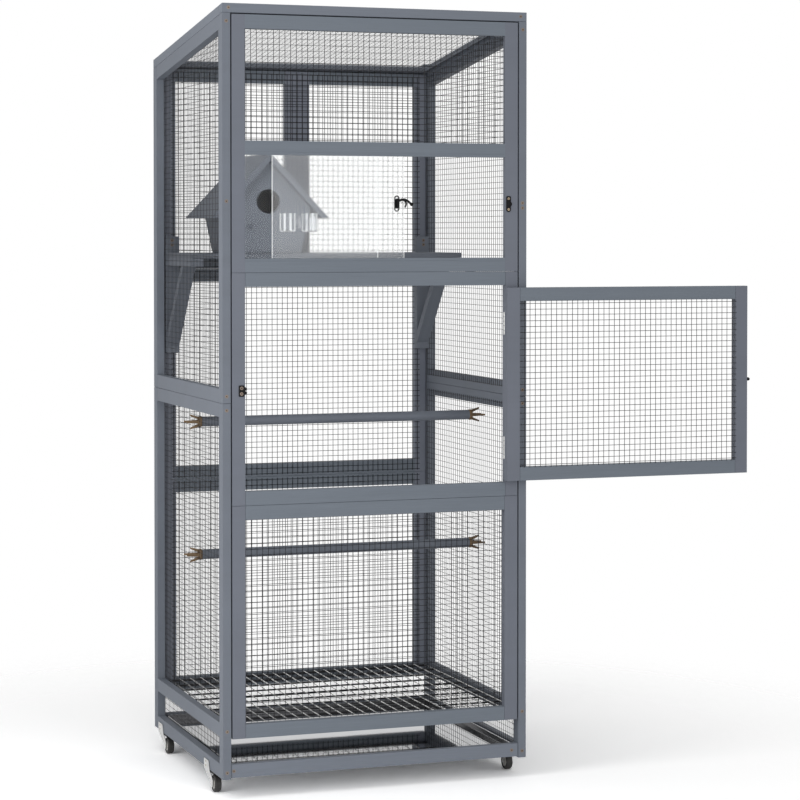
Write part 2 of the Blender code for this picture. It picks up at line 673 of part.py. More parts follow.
def build_window(parent):
    rear = pivot("rear_sheet_slide", (OPEN_LEFT + SHEET_END_GAP, REAR_SHEET_Y, WINDOW_FOOT_Z), parent)
    window_sheet("rear_window_sheet", OPEN_LEFT + SHEET_END_GAP, REAR_SHEET_Y, rear)
    build_feeder(rear)
    front = pivot("front_sheet_slide", (FRONT_SHEET_X, FRONT_SHEET_Y, WINDOW_FOOT_Z), parent)
    window_sheet("front_window_sheet", FRONT_SHEET_X, FRONT_SHEET_Y, front)
    face = FRONT_SHEET_Y - SHEET_THICK / 2
    x = FRONT_SHEET_X + SHEET_WIDTH - WINDOW_LATCH_INSET
    y = -LATCH_PROUD
    latch_plate("window_latch_plate", x, y, WINDOW_LATCH_Z, face, front)
    lever = pivot("window_lever_pivot", (x, y, WINDOW_LATCH_Z), front)
    latch_lever("window_latch_lever", WINDOW_LATCH_Z, 1, lever)
    x = OPEN_RIGHT + KEEPER_WIDTH / 2 + TOUCH
    keeper("window_keeper", x, WINDOW_LATCH_Z, LATCH_HEIGHT, parent)


def build_door_latch(parent, door):
    y = -LATCH_PROUD
    latch_plate("door_latch_plate", LATCH_BARREL_X, y, DOOR_LATCH_Z, 0, door)
    lever = pivot("door_lever_pivot", (LATCH_BARREL_X, y, DOOR_LATCH_Z), door)
    latch_lever("door_latch_lever", DOOR_LATCH_Z, -1, lever)
    x = OPEN_LEFT - KEEPER_WIDTH / 2 - LATCH_PLATE
    keeper("door_keeper", x, DOOR_LATCH_Z - KEEPER_DROP, KEEPER_HEIGHT, parent)


# Shelf on two braced brackets
def build_shelf(parent):
    notch = BATTEN + TOUCH
    step = CLEAR_BACK - THICK - TOUCH
    left, right = CLEAR_LEFT, CLEAR_RIGHT
    ring = [(left, SHELF_FRONT_Y), (right, SHELF_FRONT_Y), (right, step), (right - notch, step)]
    ring += [(right - notch, CLEAR_BACK), (left + notch, CLEAR_BACK), (left + notch, step), (left, step)]
    at = (0, 0, SHELF_TOP_Z - SHELF_THICK / 2)
    flat_piece("shelf_board", [ring], SHELF_THICK, at, LYING, parent, "grey_wood")
    head = SHELF_TOP_Z - SHELF_THICK - TOUCH
    arm_foot = head - THICK
    run, drop = BRACE_RUN, BRACE_DROP
    slant = math.hypot(run, drop)
    post = CLEAR_BACK - THICK
    across = THICK * slant / drop
    outer = [(SHELF_FRONT_Y, head), (SHELF_FRONT_Y, arm_foot), (post - run - across, arm_foot)]
    outer += [(post, arm_foot - drop - across * drop / run), (post, BRACKET_FOOT_Z)]
    outer += [(CLEAR_BACK, BRACKET_FOOT_Z), (CLEAR_BACK, BRACKET_TOP_Z), (post, BRACKET_TOP_Z), (post, head)]
    inner = [(post - run, arm_foot), (post, arm_foot), (post, arm_foot - drop)]
    middles = (("left", CLEAR_LEFT + BATTEN / 2), ("right", CLEAR_RIGHT - BATTEN / 2))
    for side, x in middles:
        name = f"shelf_bracket_{side}"
        flat_piece(name, [outer, inner], BATTEN, (x, 0, 0), FACING_SIDE, parent, "grey_wood")


# Birdhouse with a gable front, a round hole and a peg
def build_house(parent):
    base_z = SHELF_TOP_Z + TOUCH
    slope = (HOUSE_RIDGE_Z - HOUSE_TIP_Z) / HOUSE_HALF_SPAN
    rise = math.sqrt(1 + slope**2)
    gable_z = HOUSE_RIDGE_Z - (HOUSE_ROOF_THICK + TOUCH) * rise
    half, eave = HOUSE_BASE / 2, HOUSE_EAVES / 2
    eave_z = gable_z - slope * eave
    x = HOUSE_X
    gable = [(x - half, base_z), (x + half, base_z), (x + eave, eave_z), (x, gable_z), (x - eave, eave_z)]
    front_y = HOUSE_FRONT_Y
    back_y = front_y + HOUSE_LENGTH
    wall = HOUSE_WALL
    at = (0, front_y + wall / 2, 0)
    walls = flat_piece("house_walls", [gable], wall, at, FACING_FRONT, parent, "grey_wood")
    rear = outline_mesh("house_back", [gable], wall)
    change(walls, helper("house_back", rear, (0, back_y - wall / 2, 0), parent, FACING_FRONT), "UNION")
    trim = TOUCH
    inner_half = half - wall
    inner_eave = eave - wall
    channel = [(x - half + trim, base_z + trim), (x + half - trim, base_z + trim)]
    channel += [(x + eave - trim, eave_z - trim), (x + inner_eave, eave_z + wall * slope - trim)]
    channel += [(x + inner_half, base_z + wall), (x - inner_half, base_z + wall)]
    channel += [(x - inner_eave, eave_z + wall * slope - trim), (x - eave + trim, eave_z - trim)]
    sides = outline_mesh("house_sides", [channel], HOUSE_LENGTH - wall)
    middle_y = front_y + HOUSE_LENGTH / 2
    change(walls, helper("house_sides", sides, (0, middle_y, 0), parent, FACING_FRONT), "UNION")
    hole = rod_mesh("house_hole", HOUSE_HOLE_RADIUS, wall * 3, 32)
    at = (x, front_y + wall / 2, HOUSE_HOLE_Z)
    change(walls, helper("house_hole", hole, at, parent, FACING_FRONT), "DIFFERENCE")
    roof_length = HOUSE_LENGTH + HOUSE_ROOF_OVERHANG * 2
    thick = HOUSE_ROOF_THICK * rise
    under = HOUSE_RIDGE_Z - thick
    for side, sign in (("left", -1), ("right", 1)):
        near = sign * TOUCH / 2
        tip = x + sign * HOUSE_HALF_SPAN
        foot = x + sign * (HOUSE_HALF_SPAN - thick / slope)
        ring = [(x + near, under), (foot, HOUSE_TIP_Z), (tip, HOUSE_TIP_Z), (x + near, HOUSE_RIDGE_Z)]
        name = f"house_roof_{side}"
        flat_piece(name, [ring], roof_length, (0, middle_y, 0), FACING_FRONT, parent, "grey_wood")
    peg = rod_mesh("house_peg", PEG_RADIUS, PEG_LENGTH, 16)
    peg_at = (x - PEG_OFFSET, front_y - TOUCH - PEG_LENGTH / 2, PEG_Z)
    piece("house_peg", peg, peg_at, parent, "grey_wood", FACING_FRONT)


# Perches with pronged crowns that grip the side cloths
def build_perches(parent):
    span = CLEAR_RIGHT - CLEAR_LEFT
    half = span / 2
    profile = [(0, half), (CROWN_RADIUS, half), (CROWN_RADIUS, half - CROWN_LENGTH)]
    profile += [(PERCH_RADIUS, half - CROWN_LENGTH), (PERCH_RADIUS, -half + CROWN_LENGTH)]
    profile += [(CROWN_RADIUS, -half + CROWN_LENGTH), (CROWN_RADIUS, -half), (0, -half)]
    reach = CLEAR_LEFT + PRONG_OUT + CROWN_LENGTH / 2
    for label, z in zip(("lower", "upper"), PERCH_Z):
        name = f"{label}_perch"
        mesh = turned_mesh(name, profile, 20)
        at = (WIDTH / 2, PERCH_Y, z)
        perch = piece(name, mesh, at, parent, "grey_wood", (0, math.pi / 2, 0))
        for side, middle_x in (("left", reach / 2 - PRONG_OUT), ("right", WIDTH + PRONG_OUT - reach / 2)):
            for number, (u, v) in enumerate(((1, 1), (1, -1), (-1, 1), (-1, -1))):
                prong = box_mesh(f"{name}_{side}_{number}", (reach, PRONG, PRONG))
                spot = (middle_x, PERCH_Y + u * PRONG_SPREAD, z + v * PRONG_SPREAD)
                change(perch, helper(f"{name}_{side}_{number}", prong, spot, parent), "UNION")


# Wire grate over the tray
def build_grate(parent):
    left, right = CLEAR_LEFT, CLEAR_RIGHT
    near, far = CLEAR_FRONT, CLEAR_BACK
    bar_pitch = (far - near - GRATE_BAR * 4) / GRATE_BARS
    through = (WIDTH / 2 + GRATE_PITCH / 2, near + GRATE_BAR * 2 + bar_pitch)
    options = {"gauges": (GRATE_WIRE, GRATE_BAR), "pitches": (GRATE_PITCH, bar_pitch)}
    at = (0, 0, GRATE_Z + GRATE_WIRE / 2 - GRATE_BAR - TOUCH)
    cloth("floor_grate", (left, near, right, far), through, at, LYING, parent, "bright_steel", **options)


# Tray on two runners, with the front sill as its handle
def build_tray(parent):
    runner_top = SILL_Z + RUNNER_HEIGHT
    for side, x in (("left", INNER_LEFT + TOUCH), ("right", INNER_RIGHT - TOUCH - THICK)):
        low = (x, SILL_SET_BACK + SILL_THICK + TOUCH, SILL_Z)
        high = (x + THICK, INNER_BACK + SILL_SET_BACK, runner_top)
        box_piece(f"{side}_tray_runner", low, high, parent, "grey_wood")
    slide = pivot("tray_slide", (WIDTH / 2, 0, runner_top), parent)
    low = (FRAME_LEFT, SILL_SET_BACK, SILL_Z)
    high = (FRAME_RIGHT, SILL_SET_BACK + SILL_THICK, SILL_Z + SILL_HEIGHT)
    box_piece("tray_front", low, high, slide, "grey_wood")
    floor = runner_top + TOUCH
    near = SILL_SET_BACK + SILL_THICK + TOUCH
    far = DEPTH - near
    left, right = CLEAR_LEFT + TRAY_SIDE_GAP, CLEAR_RIGHT - TRAY_SIDE_GAP
    pan = box_piece("tray_pan", (left, near, floor), (right, far, floor + TRAY_WALL), slide, "bright_steel")
    sheet = TRAY_SHEET
    low = (left + sheet, near + sheet, floor + sheet)
    high = (right - sheet, far - sheet, floor + TRAY_WALL * 2)
    change(pan, box_helper("tray_room", low, high, slide), "DIFFERENCE")


# Casters: a plate and arm outside each side's bottom rail, and a wheel under the rail
def caster_arm(name, y, side, parent):
    """side is 1 on the left, where the wheel lies to the right of the arm."""
    face = 0 if side > 0 else WIDTH
    middle_x = face - side * (TOUCH + CASTER_PLATE / 2)
    plate_near, plate_far = y + CASTER_TRAIL - CASTER_LENGTH / 2, y + CASTER_TRAIL + CASTER_LENGTH / 2
    eye = AXLE_RADIUS * 3
    drop = -AXLE_DROP
    turns = [math.radians(angle) for angle in range(180, 361, 20)]
    ring = [(y + eye * math.cos(turn), drop + eye * math.sin(turn)) for turn in turns]
    ring += [(plate_far, -AXLE_RADIUS), (plate_far, CASTER_RISE), (plate_near, CASTER_RISE)]
    ring += [(plate_near, AXLE_RADIUS), (y - eye, drop + eye)]
    arm = flat_piece(name, [ring], CASTER_PLATE, (middle_x, 0, 0), FACING_SIDE, parent, "zinc")
    length = WHEEL_WIDTH + WHEEL_SIDE_GAP * 2 + CASTER_PLATE
    start = face - side * (TOUCH + CASTER_PLATE / 2)
    axle = rod_mesh(name + "_axle", AXLE_RADIUS, length, 16)
    turn = (0, math.pi / 2, 0)
    axle_at = (start + side * length / 2, y, drop)
    change(arm, helper(name + "_axle", axle, axle_at, parent, turn), "UNION")
    head = rod_mesh(name + "_head", AXLE_RADIUS * 1.8, CASTER_PLATE, 16)
    head_at = (start + side * length, y, drop)
    change(arm, helper(name + "_head", head, head_at, parent, turn), "UNION")


def caster_wheel(name, y, side, parent):
    x = WHEEL_X if side > 0 else WIDTH - WHEEL_X
    axis = pivot(name + "_axis", (x, y, -AXLE_DROP), parent)
    half = WHEEL_WIDTH / 2
    bore = AXLE_RADIUS + AXLE_SLACK
    round_off = WHEEL_WIDTH / 8
    recess = WHEEL_WIDTH / 10
    profile = [(bore, half), (HUB_RADIUS, half), (HUB_RADIUS + recess, half - recess)]
    profile += [(WHEEL_RADIUS - round_off * 2, half - recess), (WHEEL_RADIUS - round_off, half)]
    profile += [(WHEEL_RADIUS, half - round_off)]
    lower = [(radius, -height) for radius, height in reversed(profile)]
    profile = profile + lower + [profile[0]]
    wheel = turned_mesh(name, profile, 32)
    piece(name, wheel, (x, y, -AXLE_DROP), axis, "black_rubber", (0, math.pi / 2, 0))


def build_casters(parent):
    for end, y in zip(("front", "back"), CASTER_Y):
        for label, side in (("left", 1), ("right", -1)):
            caster_arm(f"{end}_{label}_caster_arm", y, side, parent)
            caster_wheel(f"{end}_{label}_wheel", y, side, parent)


def main():
    stand = pivot("cage_frame", (0, 0, 0))
    build_sides(stand)
    build_back(stand)
    build_front(stand)
    build_roof(stand)
    build_side_cloths(stand)
    build_front_and_back_cloths(stand)
    build_roof_cloth(stand)
    door = pivot("door_hinge_axis", (HINGE_X, HINGE_Y, 0), stand, math.pi)
    build_door(door)
    build_hinges(stand, door)
    build_door_latch(stand, door)
    build_window(stand)
    build_shelf(stand)
    build_house(stand)
    build_perches(stand)
    build_grate(stand)
    build_tray(stand)
    build_casters(stand)


main()
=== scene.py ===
import math
import random

import bmesh
import bpy
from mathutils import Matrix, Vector


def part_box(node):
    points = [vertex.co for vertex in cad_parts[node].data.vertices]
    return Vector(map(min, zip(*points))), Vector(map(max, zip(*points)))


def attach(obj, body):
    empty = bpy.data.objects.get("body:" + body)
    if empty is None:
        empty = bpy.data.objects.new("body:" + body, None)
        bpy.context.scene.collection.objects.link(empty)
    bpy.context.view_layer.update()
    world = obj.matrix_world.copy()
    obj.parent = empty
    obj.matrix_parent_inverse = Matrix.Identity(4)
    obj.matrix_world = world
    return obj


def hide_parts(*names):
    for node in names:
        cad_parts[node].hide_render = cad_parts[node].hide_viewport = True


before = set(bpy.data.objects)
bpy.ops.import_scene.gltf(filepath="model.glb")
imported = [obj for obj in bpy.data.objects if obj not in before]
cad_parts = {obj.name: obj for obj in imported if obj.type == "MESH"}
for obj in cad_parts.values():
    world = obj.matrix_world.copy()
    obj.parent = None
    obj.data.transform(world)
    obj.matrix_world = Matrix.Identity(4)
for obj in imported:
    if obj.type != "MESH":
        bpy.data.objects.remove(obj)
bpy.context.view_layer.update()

# Places are in the cage's own millimetres: x from its left face, y from its front face,
# z from the foot of its posts
mm = 0.001
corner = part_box("left_lower_frame")[0]  # the cage's own zero in the frame
upX, upY, upZ = Vector((1, 0, 0)), Vector((0, 1, 0)), Vector((0, 0, 1))
rng = random.Random(7)

cage = {
    "width": 695.0,
    "depth": 610.0,
    "batten": 30.0,
    "thick": 18.0,
    "frontTop": 1650.0,  # top of the roof at its front edge
    "roofThick": 20.0,
    "roofFall": 80.0,  # how much lower the roof's back edge is
    "floor": -44.0,
    "sideSplit": 802.0,  # seam between the two frames of a side
    "levels": (86.0, 583.5, 1079.5),  # feet of the three front frames
    "windowTop": 1330.0,
    "hinge": (641.95, -4.0),  # door hinge pin, seen from above
    "doorLeft": 56.3,
    "doorRight": 644.2,
    "doorFoot": 618.5,
    "doorHead": 1044.0,
}
slope = cage["roofFall"] / cage["depth"]
openLeft, openRight = 48.8, 646.2  # inner edges of the frames' stiles
inLeft, inRight = 18.8, 676.2
frameLeft, frameRight = 20.8, 674.2  # outer edges of the front and back frames, clear of the sides
seam = 0.25  # half of the hairline between two members


def spot(x, y, z):
    return Vector((corner.x + x * mm, corner.y + y * mm, corner.z + z * mm))


# A place on the closed door, carried to where the open door has it
def doorSpot(x, y, z):
    return spot(2 * cage["hinge"][0] - x, 2 * cage["hinge"][1] - y, z)


def roofUnder(y):
    return cage["frontTop"] - cage["roofThick"] - slope * y


def report(words):
    print("stage:", words)


# Materials


# Adds a shader node; each input is given a value, or the socket that feeds it
def addNode(tree, kind, inputs=None, **fields):
    node = tree.nodes.new("ShaderNode" + kind)
    for name, value in fields.items():
        setattr(node, name, value)
    for name, value in (inputs or {}).items():
        if isinstance(value, bpy.types.NodeSocket):
            tree.links.new(value, node.inputs[name])
        else:
            node.inputs[name].default_value = value
    return node


def newMaterial(name, colour, rough, metal=0.0, sheen=0.5):
    mat = bpy.data.materials.new(name)
    mat.use_nodes = True
    tree = mat.node_tree
    shader = tree.nodes["Principled BSDF"]
    shader.inputs["Base Color"].default_value = (*colour, 1)
    shader.inputs["Roughness"].default_value = rough
    shader.inputs["Metallic"].default_value = metal
    shader.inputs["Specular IOR Level"].default_value = sheen
    mat.diffuse_color = (*colour, 1)
    return mat, tree, shader


def addNoise(tree, source, scale, detail=5.0, stretch=(1, 1, 1), rough=0.6):
    fit = addNode(tree, "Mapping", {"Scale": stretch, "Vector": source}).outputs["Vector"]
    noise = {"Scale": scale, "Detail": detail, "Roughness": rough, "Vector": fit}
    return addNode(tree, "TexNoise", noise).outputs["Fac"]


def addRamp(tree, factor, stops):
    ramp = addNode(tree, "ValToRGB", {"Fac": factor})
    while len(ramp.color_ramp.elements) < len(stops):
        ramp.color_ramp.elements.new(0.5)
    for element, (place, colour) in zip(ramp.color_ramp.elements, stops):
        element.position = place
        element.color = (*colour, 1)
    return ramp.outputs["Color"]


def addBump(tree, shader, height, strength, distance):
    bump = addNode(tree, "Bump", {"Strength": strength, "Distance": distance, "Height": height})
    tree.links.new(bump.outputs["Normal"], shader.inputs["Normal"])


def addRange(tree, factor, low, high):
    return addNode(tree, "MapRange", {"To Min": low, "To Max": high, "Value": factor}).outputs["Result"]


def mixShaders(tree, factor, first, second):
    return addNode(tree, "MixShader", {"Fac": factor, 1: first, 2: second}).outputs["Shader"]


# One for the given kinds of light ray, nought for all others
def rayIs(tree, *kinds):
    rays = addNode(tree, "LightPath").outputs
    found = rays[kinds[0]]
    for kind in kinds[1:]:
        found = addNode(tree, "Math", {0: found, 1: rays[kind]}, operation="MAXIMUM").outputs["Value"]
    return found


def scaled(colour, by):
    return tuple(min(1.0, c * by) for c in colour)


# Stained softwood; the grain runs along the first direction of the piece's own layout
def woodMaterial(name, colour, rough=0.62, contrast=0.1, grainDepth=0.35):
    mat, tree, shader = newMaterial(name, colour, rough)
    grid = addNode(tree, "UVMap", uv_map="grain").outputs["UV"]
    fine = addNoise(tree, grid, 1.0, 6.0, (14, 420, 1), 0.65)
    wide = addNoise(tree, grid, 1.0, 3.0, (4, 45, 1), 0.5)
    low, high = scaled(colour, 1 - contrast), scaled(colour, 1 + contrast * 0.6)
    tones = {
        "Factor": 1.0,
        "A": addRamp(tree, fine, [(0.3, low), (0.55, colour), (0.8, high)]),
        "B": addRamp(tree, wide, [(0.3, (0.93, 0.935, 0.94)), (0.7, (1.0, 1.0, 1.0))]),
    }
    mix = addNode(tree, "Mix", tones, data_type="RGBA", blend_type="MULTIPLY")
    tree.links.new(mix.outputs["Result"], shader.inputs["Base Color"])
    tree.links.new(addRange(tree, fine, rough - 0.07, rough + 0.09), shader.inputs["Roughness"])
    addBump(tree, shader, fine, grainDepth, 0.0004)
    return mat


# A plain finish with slight, uneven tone, sheen and surface
def speckled(name, colour, rough, metal=0.0, scale=300.0, contrast=0.12, bump=0.15, depth=0.0002, sheen=0.5):
    mat, tree, shader = newMaterial(name, colour, rough, metal, sheen)
    place = addNode(tree, "TexCoord").outputs["Object"]
    grain = addNoise(tree, place, scale, 4.0)
    wide = addNoise(tree, place, scale / 12, 2.0)
    tones = [(0.3, scaled(colour, 1 - contrast)), (0.7, scaled(colour, 1 + contrast))]
    tree.links.new(addRamp(tree, wide, tones), shader.inputs["Base Color"])
    sheens = addRange(tree, grain, max(0.02, rough * 0.8), min(1, rough * 1.25))
    tree.links.new(sheens, shader.inputs["Roughness"])
    addBump(tree, shader, grain, bump, depth)
    return mat


# Clear plastic: light passes on to what is behind, a little spread, and casts hardly a shadow
def clearMaterial(name, tint, rough, film, sheen=0.5, glint=1.0):
    mat, tree, shader = newMaterial(name, tint, rough, 0.0, sheen)
    shader.inputs["Specular Tint"].default_value = (glint, glint, glint, 1)
    shader.inputs["Transmission Weight"].default_value = film
    shader.inputs["IOR"].default_value = 1.49
    smear = addNoise(tree, addNode(tree, "TexCoord").outputs["Object"], 9.0, 3.0)
    tree.links.new(addRange(tree, smear, rough * 0.9, rough * 1.1), shader.inputs["Roughness"])
    through = addNode(tree, "BsdfTransparent", {"Color": (0.94, 0.945, 0.95, 1)}).outputs["BSDF"]
    look = mixShaders(tree, rayIs(tree, "Is Shadow Ray"), shader.outputs["BSDF"], through)
    tree.links.new(look, tree.nodes["Material Output"].inputs["Surface"])
    return mat


woodTone = (0.157, 0.176, 0.211)
# The cage wears one grey stain. The copies below are that stain made a little lighter or darker part by part,
# to match how light falls on each: painted light on the rails, back stiles, roof, tray front and birdhouse,
# and painted shade on the front and door stiles and the shelf.
stain = woodMaterial("blueGreyStain", woodTone)
railStain = woodMaterial("railStain", (0.160, 0.186, 0.221))
stileStain = woodMaterial("stileStain", (0.154, 0.169, 0.206), contrast=0.08)
backStain = woodMaterial("backStain", (0.185, 0.203, 0.248), contrast=0.08)
roofStain = woodMaterial("roofStain", scaled(woodTone, 1.1))
trayStain = woodMaterial("trayStain", scaled(woodTone, 1.14))
shelfStain = woodMaterial("shelfStain", scaled(woodTone, 0.86), contrast=0.14)
houseStain = woodMaterial("houseStain", scaled(woodTone, 1.04), contrast=0.08)
rawWood = woodMaterial("rawWood", (0.205, 0.135, 0.074), 0.75, 0.45, 0.6)
wireBlack = speckled("blackWire", (0.014, 0.014, 0.016), 0.42, 0.0, 500.0, 0.2, sheen=0.2)
# Black iron, and also the black of the screws' cross recesses and of the block above each caster wheel:
# painted shade.
ironBlackAndShade = speckled("blackIron", (0.006, 0.006, 0.007), 0.45, 0.0, 600.0, 0.25, sheen=0.12)
zinc = speckled("zincPlate", (0.58, 0.58, 0.57), 0.34, 1.0, 400.0, 0.1)
brass = speckled("brassScrew", (0.33, 0.255, 0.175), 0.42, 0.6, 700.0, 0.2)
dullBrass = speckled("dullScrew", (0.235, 0.185, 0.150), 0.5, 0.2, 700.0, 0.2, sheen=0.3)
silver = speckled("silverWire", (0.66, 0.66, 0.65), 0.26, 1.0, 500.0, 0.12)
trayMetal = speckled("trayMetal", (0.39, 0.395, 0.405), 0.04, 1.0, 60.0, 0.03, 0.02, 0.0001)
# A darker copy of the tray's steel for the pan's upright walls: painted shade.
trayWall = speckled("trayWall", (0.10, 0.10, 0.105), 0.2, 1.0, 60.0, 0.05, 0.03, 0.0001)
rubber = speckled("wheelRubber", (0.020, 0.019, 0.018), 0.55, 0.0, 500.0, 0.2)
hubPlastic = speckled("hubPlastic", (0.42, 0.41, 0.39), 0.5, 0.0, 400.0, 0.1)
staple = speckled("stapleSteel", (0.16, 0.16, 0.165), 0.4, 0.9, 700.0, 0.1)
rearClear = clearMaterial("rearClear", (0.985, 0.99, 0.99), 0.05, 1.0, 0.2, 0.15)
frontClear = clearMaterial("frontClear", (0.985, 0.99, 0.99), 0.05, 1.0, 0.2, 0.6)
sheetEdge = clearMaterial("sheetEdge", (0.97, 0.98, 0.98), 0.3, 0.0)
cupClear = clearMaterial("cupClear", (0.86, 0.87, 0.885), 0.03, 0.97, 0.2, 0.3)
# Whiter, less clear plastic for stripes on the cup walls: painted highlights.
cupRib = clearMaterial("cupRib", (0.80, 0.81, 0.82), 0.15, 0.45, 0.3)

# Shapes


def newStock():
    stock = bmesh.new()
    stock.loops.layers.uv.new("grain")
    return stock


# Points on an arc round (u, v), at angles in degrees
def arc(u, v, radius, angles):
    turns = [math.radians(a) for a in angles]
    return [(u + radius * math.cos(t), v + radius * math.sin(t)) for t in turns]


# Adds points and faces, with the grain laid along a direction
def addMesh(stock, verts, faces, along=None, slot=0):
    made = bpy.data.meshes.new("part")
    made.from_pydata([tuple(v) for v in verts], [], faces)
    layer = made.uv_layers.new(name="grain")
    lie = (Vector(along) if along else upZ).normalized()
    side = lie.orthogonal().normalized()
    third = lie.cross(side)
    shift = rng.random() * 9.0
    for face in made.polygons:
        face.use_smooth = True
        face.material_index = slot
        for loop in face.loop_indices:
            at = made.vertices[made.loops[loop].vertex_index].co
            end = abs(face.normal.dot(lie)) > 0.7
            run = at.dot(side) * 0.25 if end else at.dot(lie)
            layer.data[loop].uv = (run + shift, at.dot(third) + (0 if end else at.dot(side)) + shift * 0.37)
    stock.from_mesh(made)
    bpy.data.meshes.remove(made)


def meshParts(work):
    work.verts.index_update()
    return [v.co.copy() for v in work.verts], [[v.index for v in f.verts] for f in work.faces]


# Chamfers a closed working shape and adds it
def addSolid(stock, work, along, chamfer=0.0, slot=0):
    bmesh.ops.recalc_face_normals(work, faces=work.faces)
    if chamfer:
        sharp = [e for e in work.edges if len(e.link_faces) == 2 and e.calc_face_angle() > 0.5]
        soft = {"segments": 2, "profile": 0.6, "affect": "EDGES", "clamp_overlap": True}
        bmesh.ops.bevel(work, geom=sharp, offset=chamfer * mm, **soft)
    bmesh.ops.recalc_face_normals(work, faces=work.faces)
    verts, faces = meshParts(work)
    work.free()
    addMesh(stock, verts, faces, along, slot)


# Square batten between two corners; bend moves its points before they are placed
def addBar(stock, low, high, along, chamfer=0.7, place=spot, bend=None, slot=0):
    work = bmesh.new()
    size = Vector(high) - Vector(low)
    mid = (Vector(high) + Vector(low)) / 2
    bmesh.ops.create_cube(work, size=1.0)
    for v in work.verts:
        at = Vector(mid[i] + v.co[i] * size[i] for i in range(3))
        v.co = place(*(bend(at) if bend else at))
    addSolid(stock, work, along, chamfer, slot)


# Board cut to an outline; lift turns a point of it and a depth into a place
def addBoard(stock, outline, thick, lift, along, chamfer=0.6, place=spot, holes=()):
    work = bmesh.new()
    if holes:
        curve = bpy.data.curves.new("cut", "CURVE")
        curve.dimensions = "2D"
        curve.fill_mode = "BOTH"
        curve.extrude = 0.5
        for ring in (outline, *holes):
            line = curve.splines.new("POLY")
            line.points.add(len(ring) - 1)
            for point, (u, v) in zip(line.points, ring):
                point.co = (u, v, 0, 1)
            line.use_cyclic_u = True
        shape = bpy.data.objects.new("cut", curve)
        bpy.context.scene.collection.objects.link(shape)
        bpy.context.view_layer.update()
        flat = bpy.data.meshes.new_from_object(shape.evaluated_get(bpy.context.evaluated_depsgraph_get()))
        bpy.data.objects.remove(shape)
        work.from_mesh(flat)
        bmesh.ops.remove_doubles(work, verts=work.verts, dist=0.001)
        bmesh.ops.dissolve_limit(work, angle_limit=0.01, verts=work.verts, edges=work.edges)
        for v in work.verts:
            v.co = place(*lift(v.co.x, v.co.y, (v.co.z + 0.5) * thick))
    else:
        near = [work.verts.new(place(*lift(u, v, 0))) for u, v in outline]
        far = [work.verts.new(place(*lift(u, v, thick))) for u, v in outline]
        work.faces.new(near)
        work.faces.new(far[::-1])
        for i in range(len(outline)):
            j = (i + 1) % len(outline)
            work.faces.new((near[i], far[i], far[j], near[j]))
    addSolid(stock, work, along, chamfer)


def sidesOf(direction):
    lie = Vector(direction).normalized()
    side = lie.orthogonal().normalized()
    return side, lie.cross(side)


def ringAt(at, side, other, radius, sides):
    turns = [2 * math.pi * k / sides for k in range(sides)]
    return [at + (side * math.cos(t) + other * math.sin(t)) * radius * mm for t in turns]


# Faces of a closed skin over rings of points that follow each other
def skinFaces(rings, sides, base=0):
    faces = []
    for low in range(base, base + (rings - 1) * sides, sides):
        for k in range(sides):
            n = (k + 1) % sides
            faces.append((low + k, low + n, low + sides + n, low + sides + k))
    last = base + (rings - 1) * sides
    return faces + [tuple(range(base, base + sides))[::-1], tuple(range(last, last + sides))]


# Skin of a round rod through points
def rodSkin(path, radii, sides, base=0):
    verts, side = [], None
    for i, at in enumerate(path):
        ahead = (path[min(i + 1, len(path) - 1)] - path[max(i - 1, 0)]).normalized()
        side = side or ahead.orthogonal().normalized()
        side = (side - ahead * side.dot(ahead)).normalized()
        verts += ringAt(at, side, ahead.cross(side), radii[i], sides)
    return verts, skinFaces(len(path), sides, base)


# Round rod; the radius may be one number or one for each point
def addTube(stock, path, radius, sides=8, slot=0):
    radii = radius if hasattr(radius, "__len__") else [radius] * len(path)
    addMesh(stock, *rodSkin(path, radii, sides), path[-1] - path[0], slot)


# Profile of (radius, distance along the axis) turned round a centre
def addTurned(stock, profile, centre, axis, sides=32, slot=0, along=None):
    lie = Vector(axis).normalized()
    side, other = sidesOf(lie)
    verts, faces, rings = [], [], []
    for radius, height in profile:
        at = centre + lie * height * mm
        ring = [at] if radius < 1e-6 else ringAt(at, side, other, radius, sides)
        rings.append(range(len(verts), len(verts) + len(ring)))
        verts += ring
    for a, b in zip(rings, rings[1:]):
        for k in range(sides):
            n = (k + 1) % sides
            corners = [a[k % len(a)], a[n % len(a)], b[n % len(b)], b[k % len(b)]]
            faces.append(tuple(dict.fromkeys(corners)))
    addMesh(stock, verts, [f for f in faces if len(f) > 2], along or lie, slot)


# The solid that a piece stands for: leftLowerTimber is left_lower_frame
def nodeOf(name):
    words = "".join("_" + c.lower() if c.isupper() else c for c in name)
    return words.replace("timber", "frame").replace("birdhouse", "house")


# A piece with no slot is small trim, which stands for no solid
def finishPiece(name, stock, materials, slot=None, body="cage", node=None):
    mesh = bpy.data.meshes.new(name)
    bmesh.ops.recalc_face_normals(stock, faces=stock.faces)
    stock.to_mesh(mesh)
    stock.free()
    for mat in materials:
        mesh.materials.append(mat)
    mesh.set_sharp_from_angle(angle=math.radians(35))
    piece = bpy.data.objects.new(name, mesh)
    even = piece.modifiers.new("evenNormals", "WEIGHTED_NORMAL")  # keeps broad faces flat beside chamfers
    even.keep_sharp = True
    bpy.context.scene.collection.objects.link(piece)
    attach(piece, body)
    if slot:
        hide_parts(node or nodeOf(name))


def finishWood(name, stock, woods=(stain,), body="cage", node=None):
    finishPiece(name, stock, woods, "grey_wood", body, node)


def finishIron(name, stock, body, screws=()):
    finishPiece(name, stock, [ironBlackAndShade, *screws], "black_metal", body)
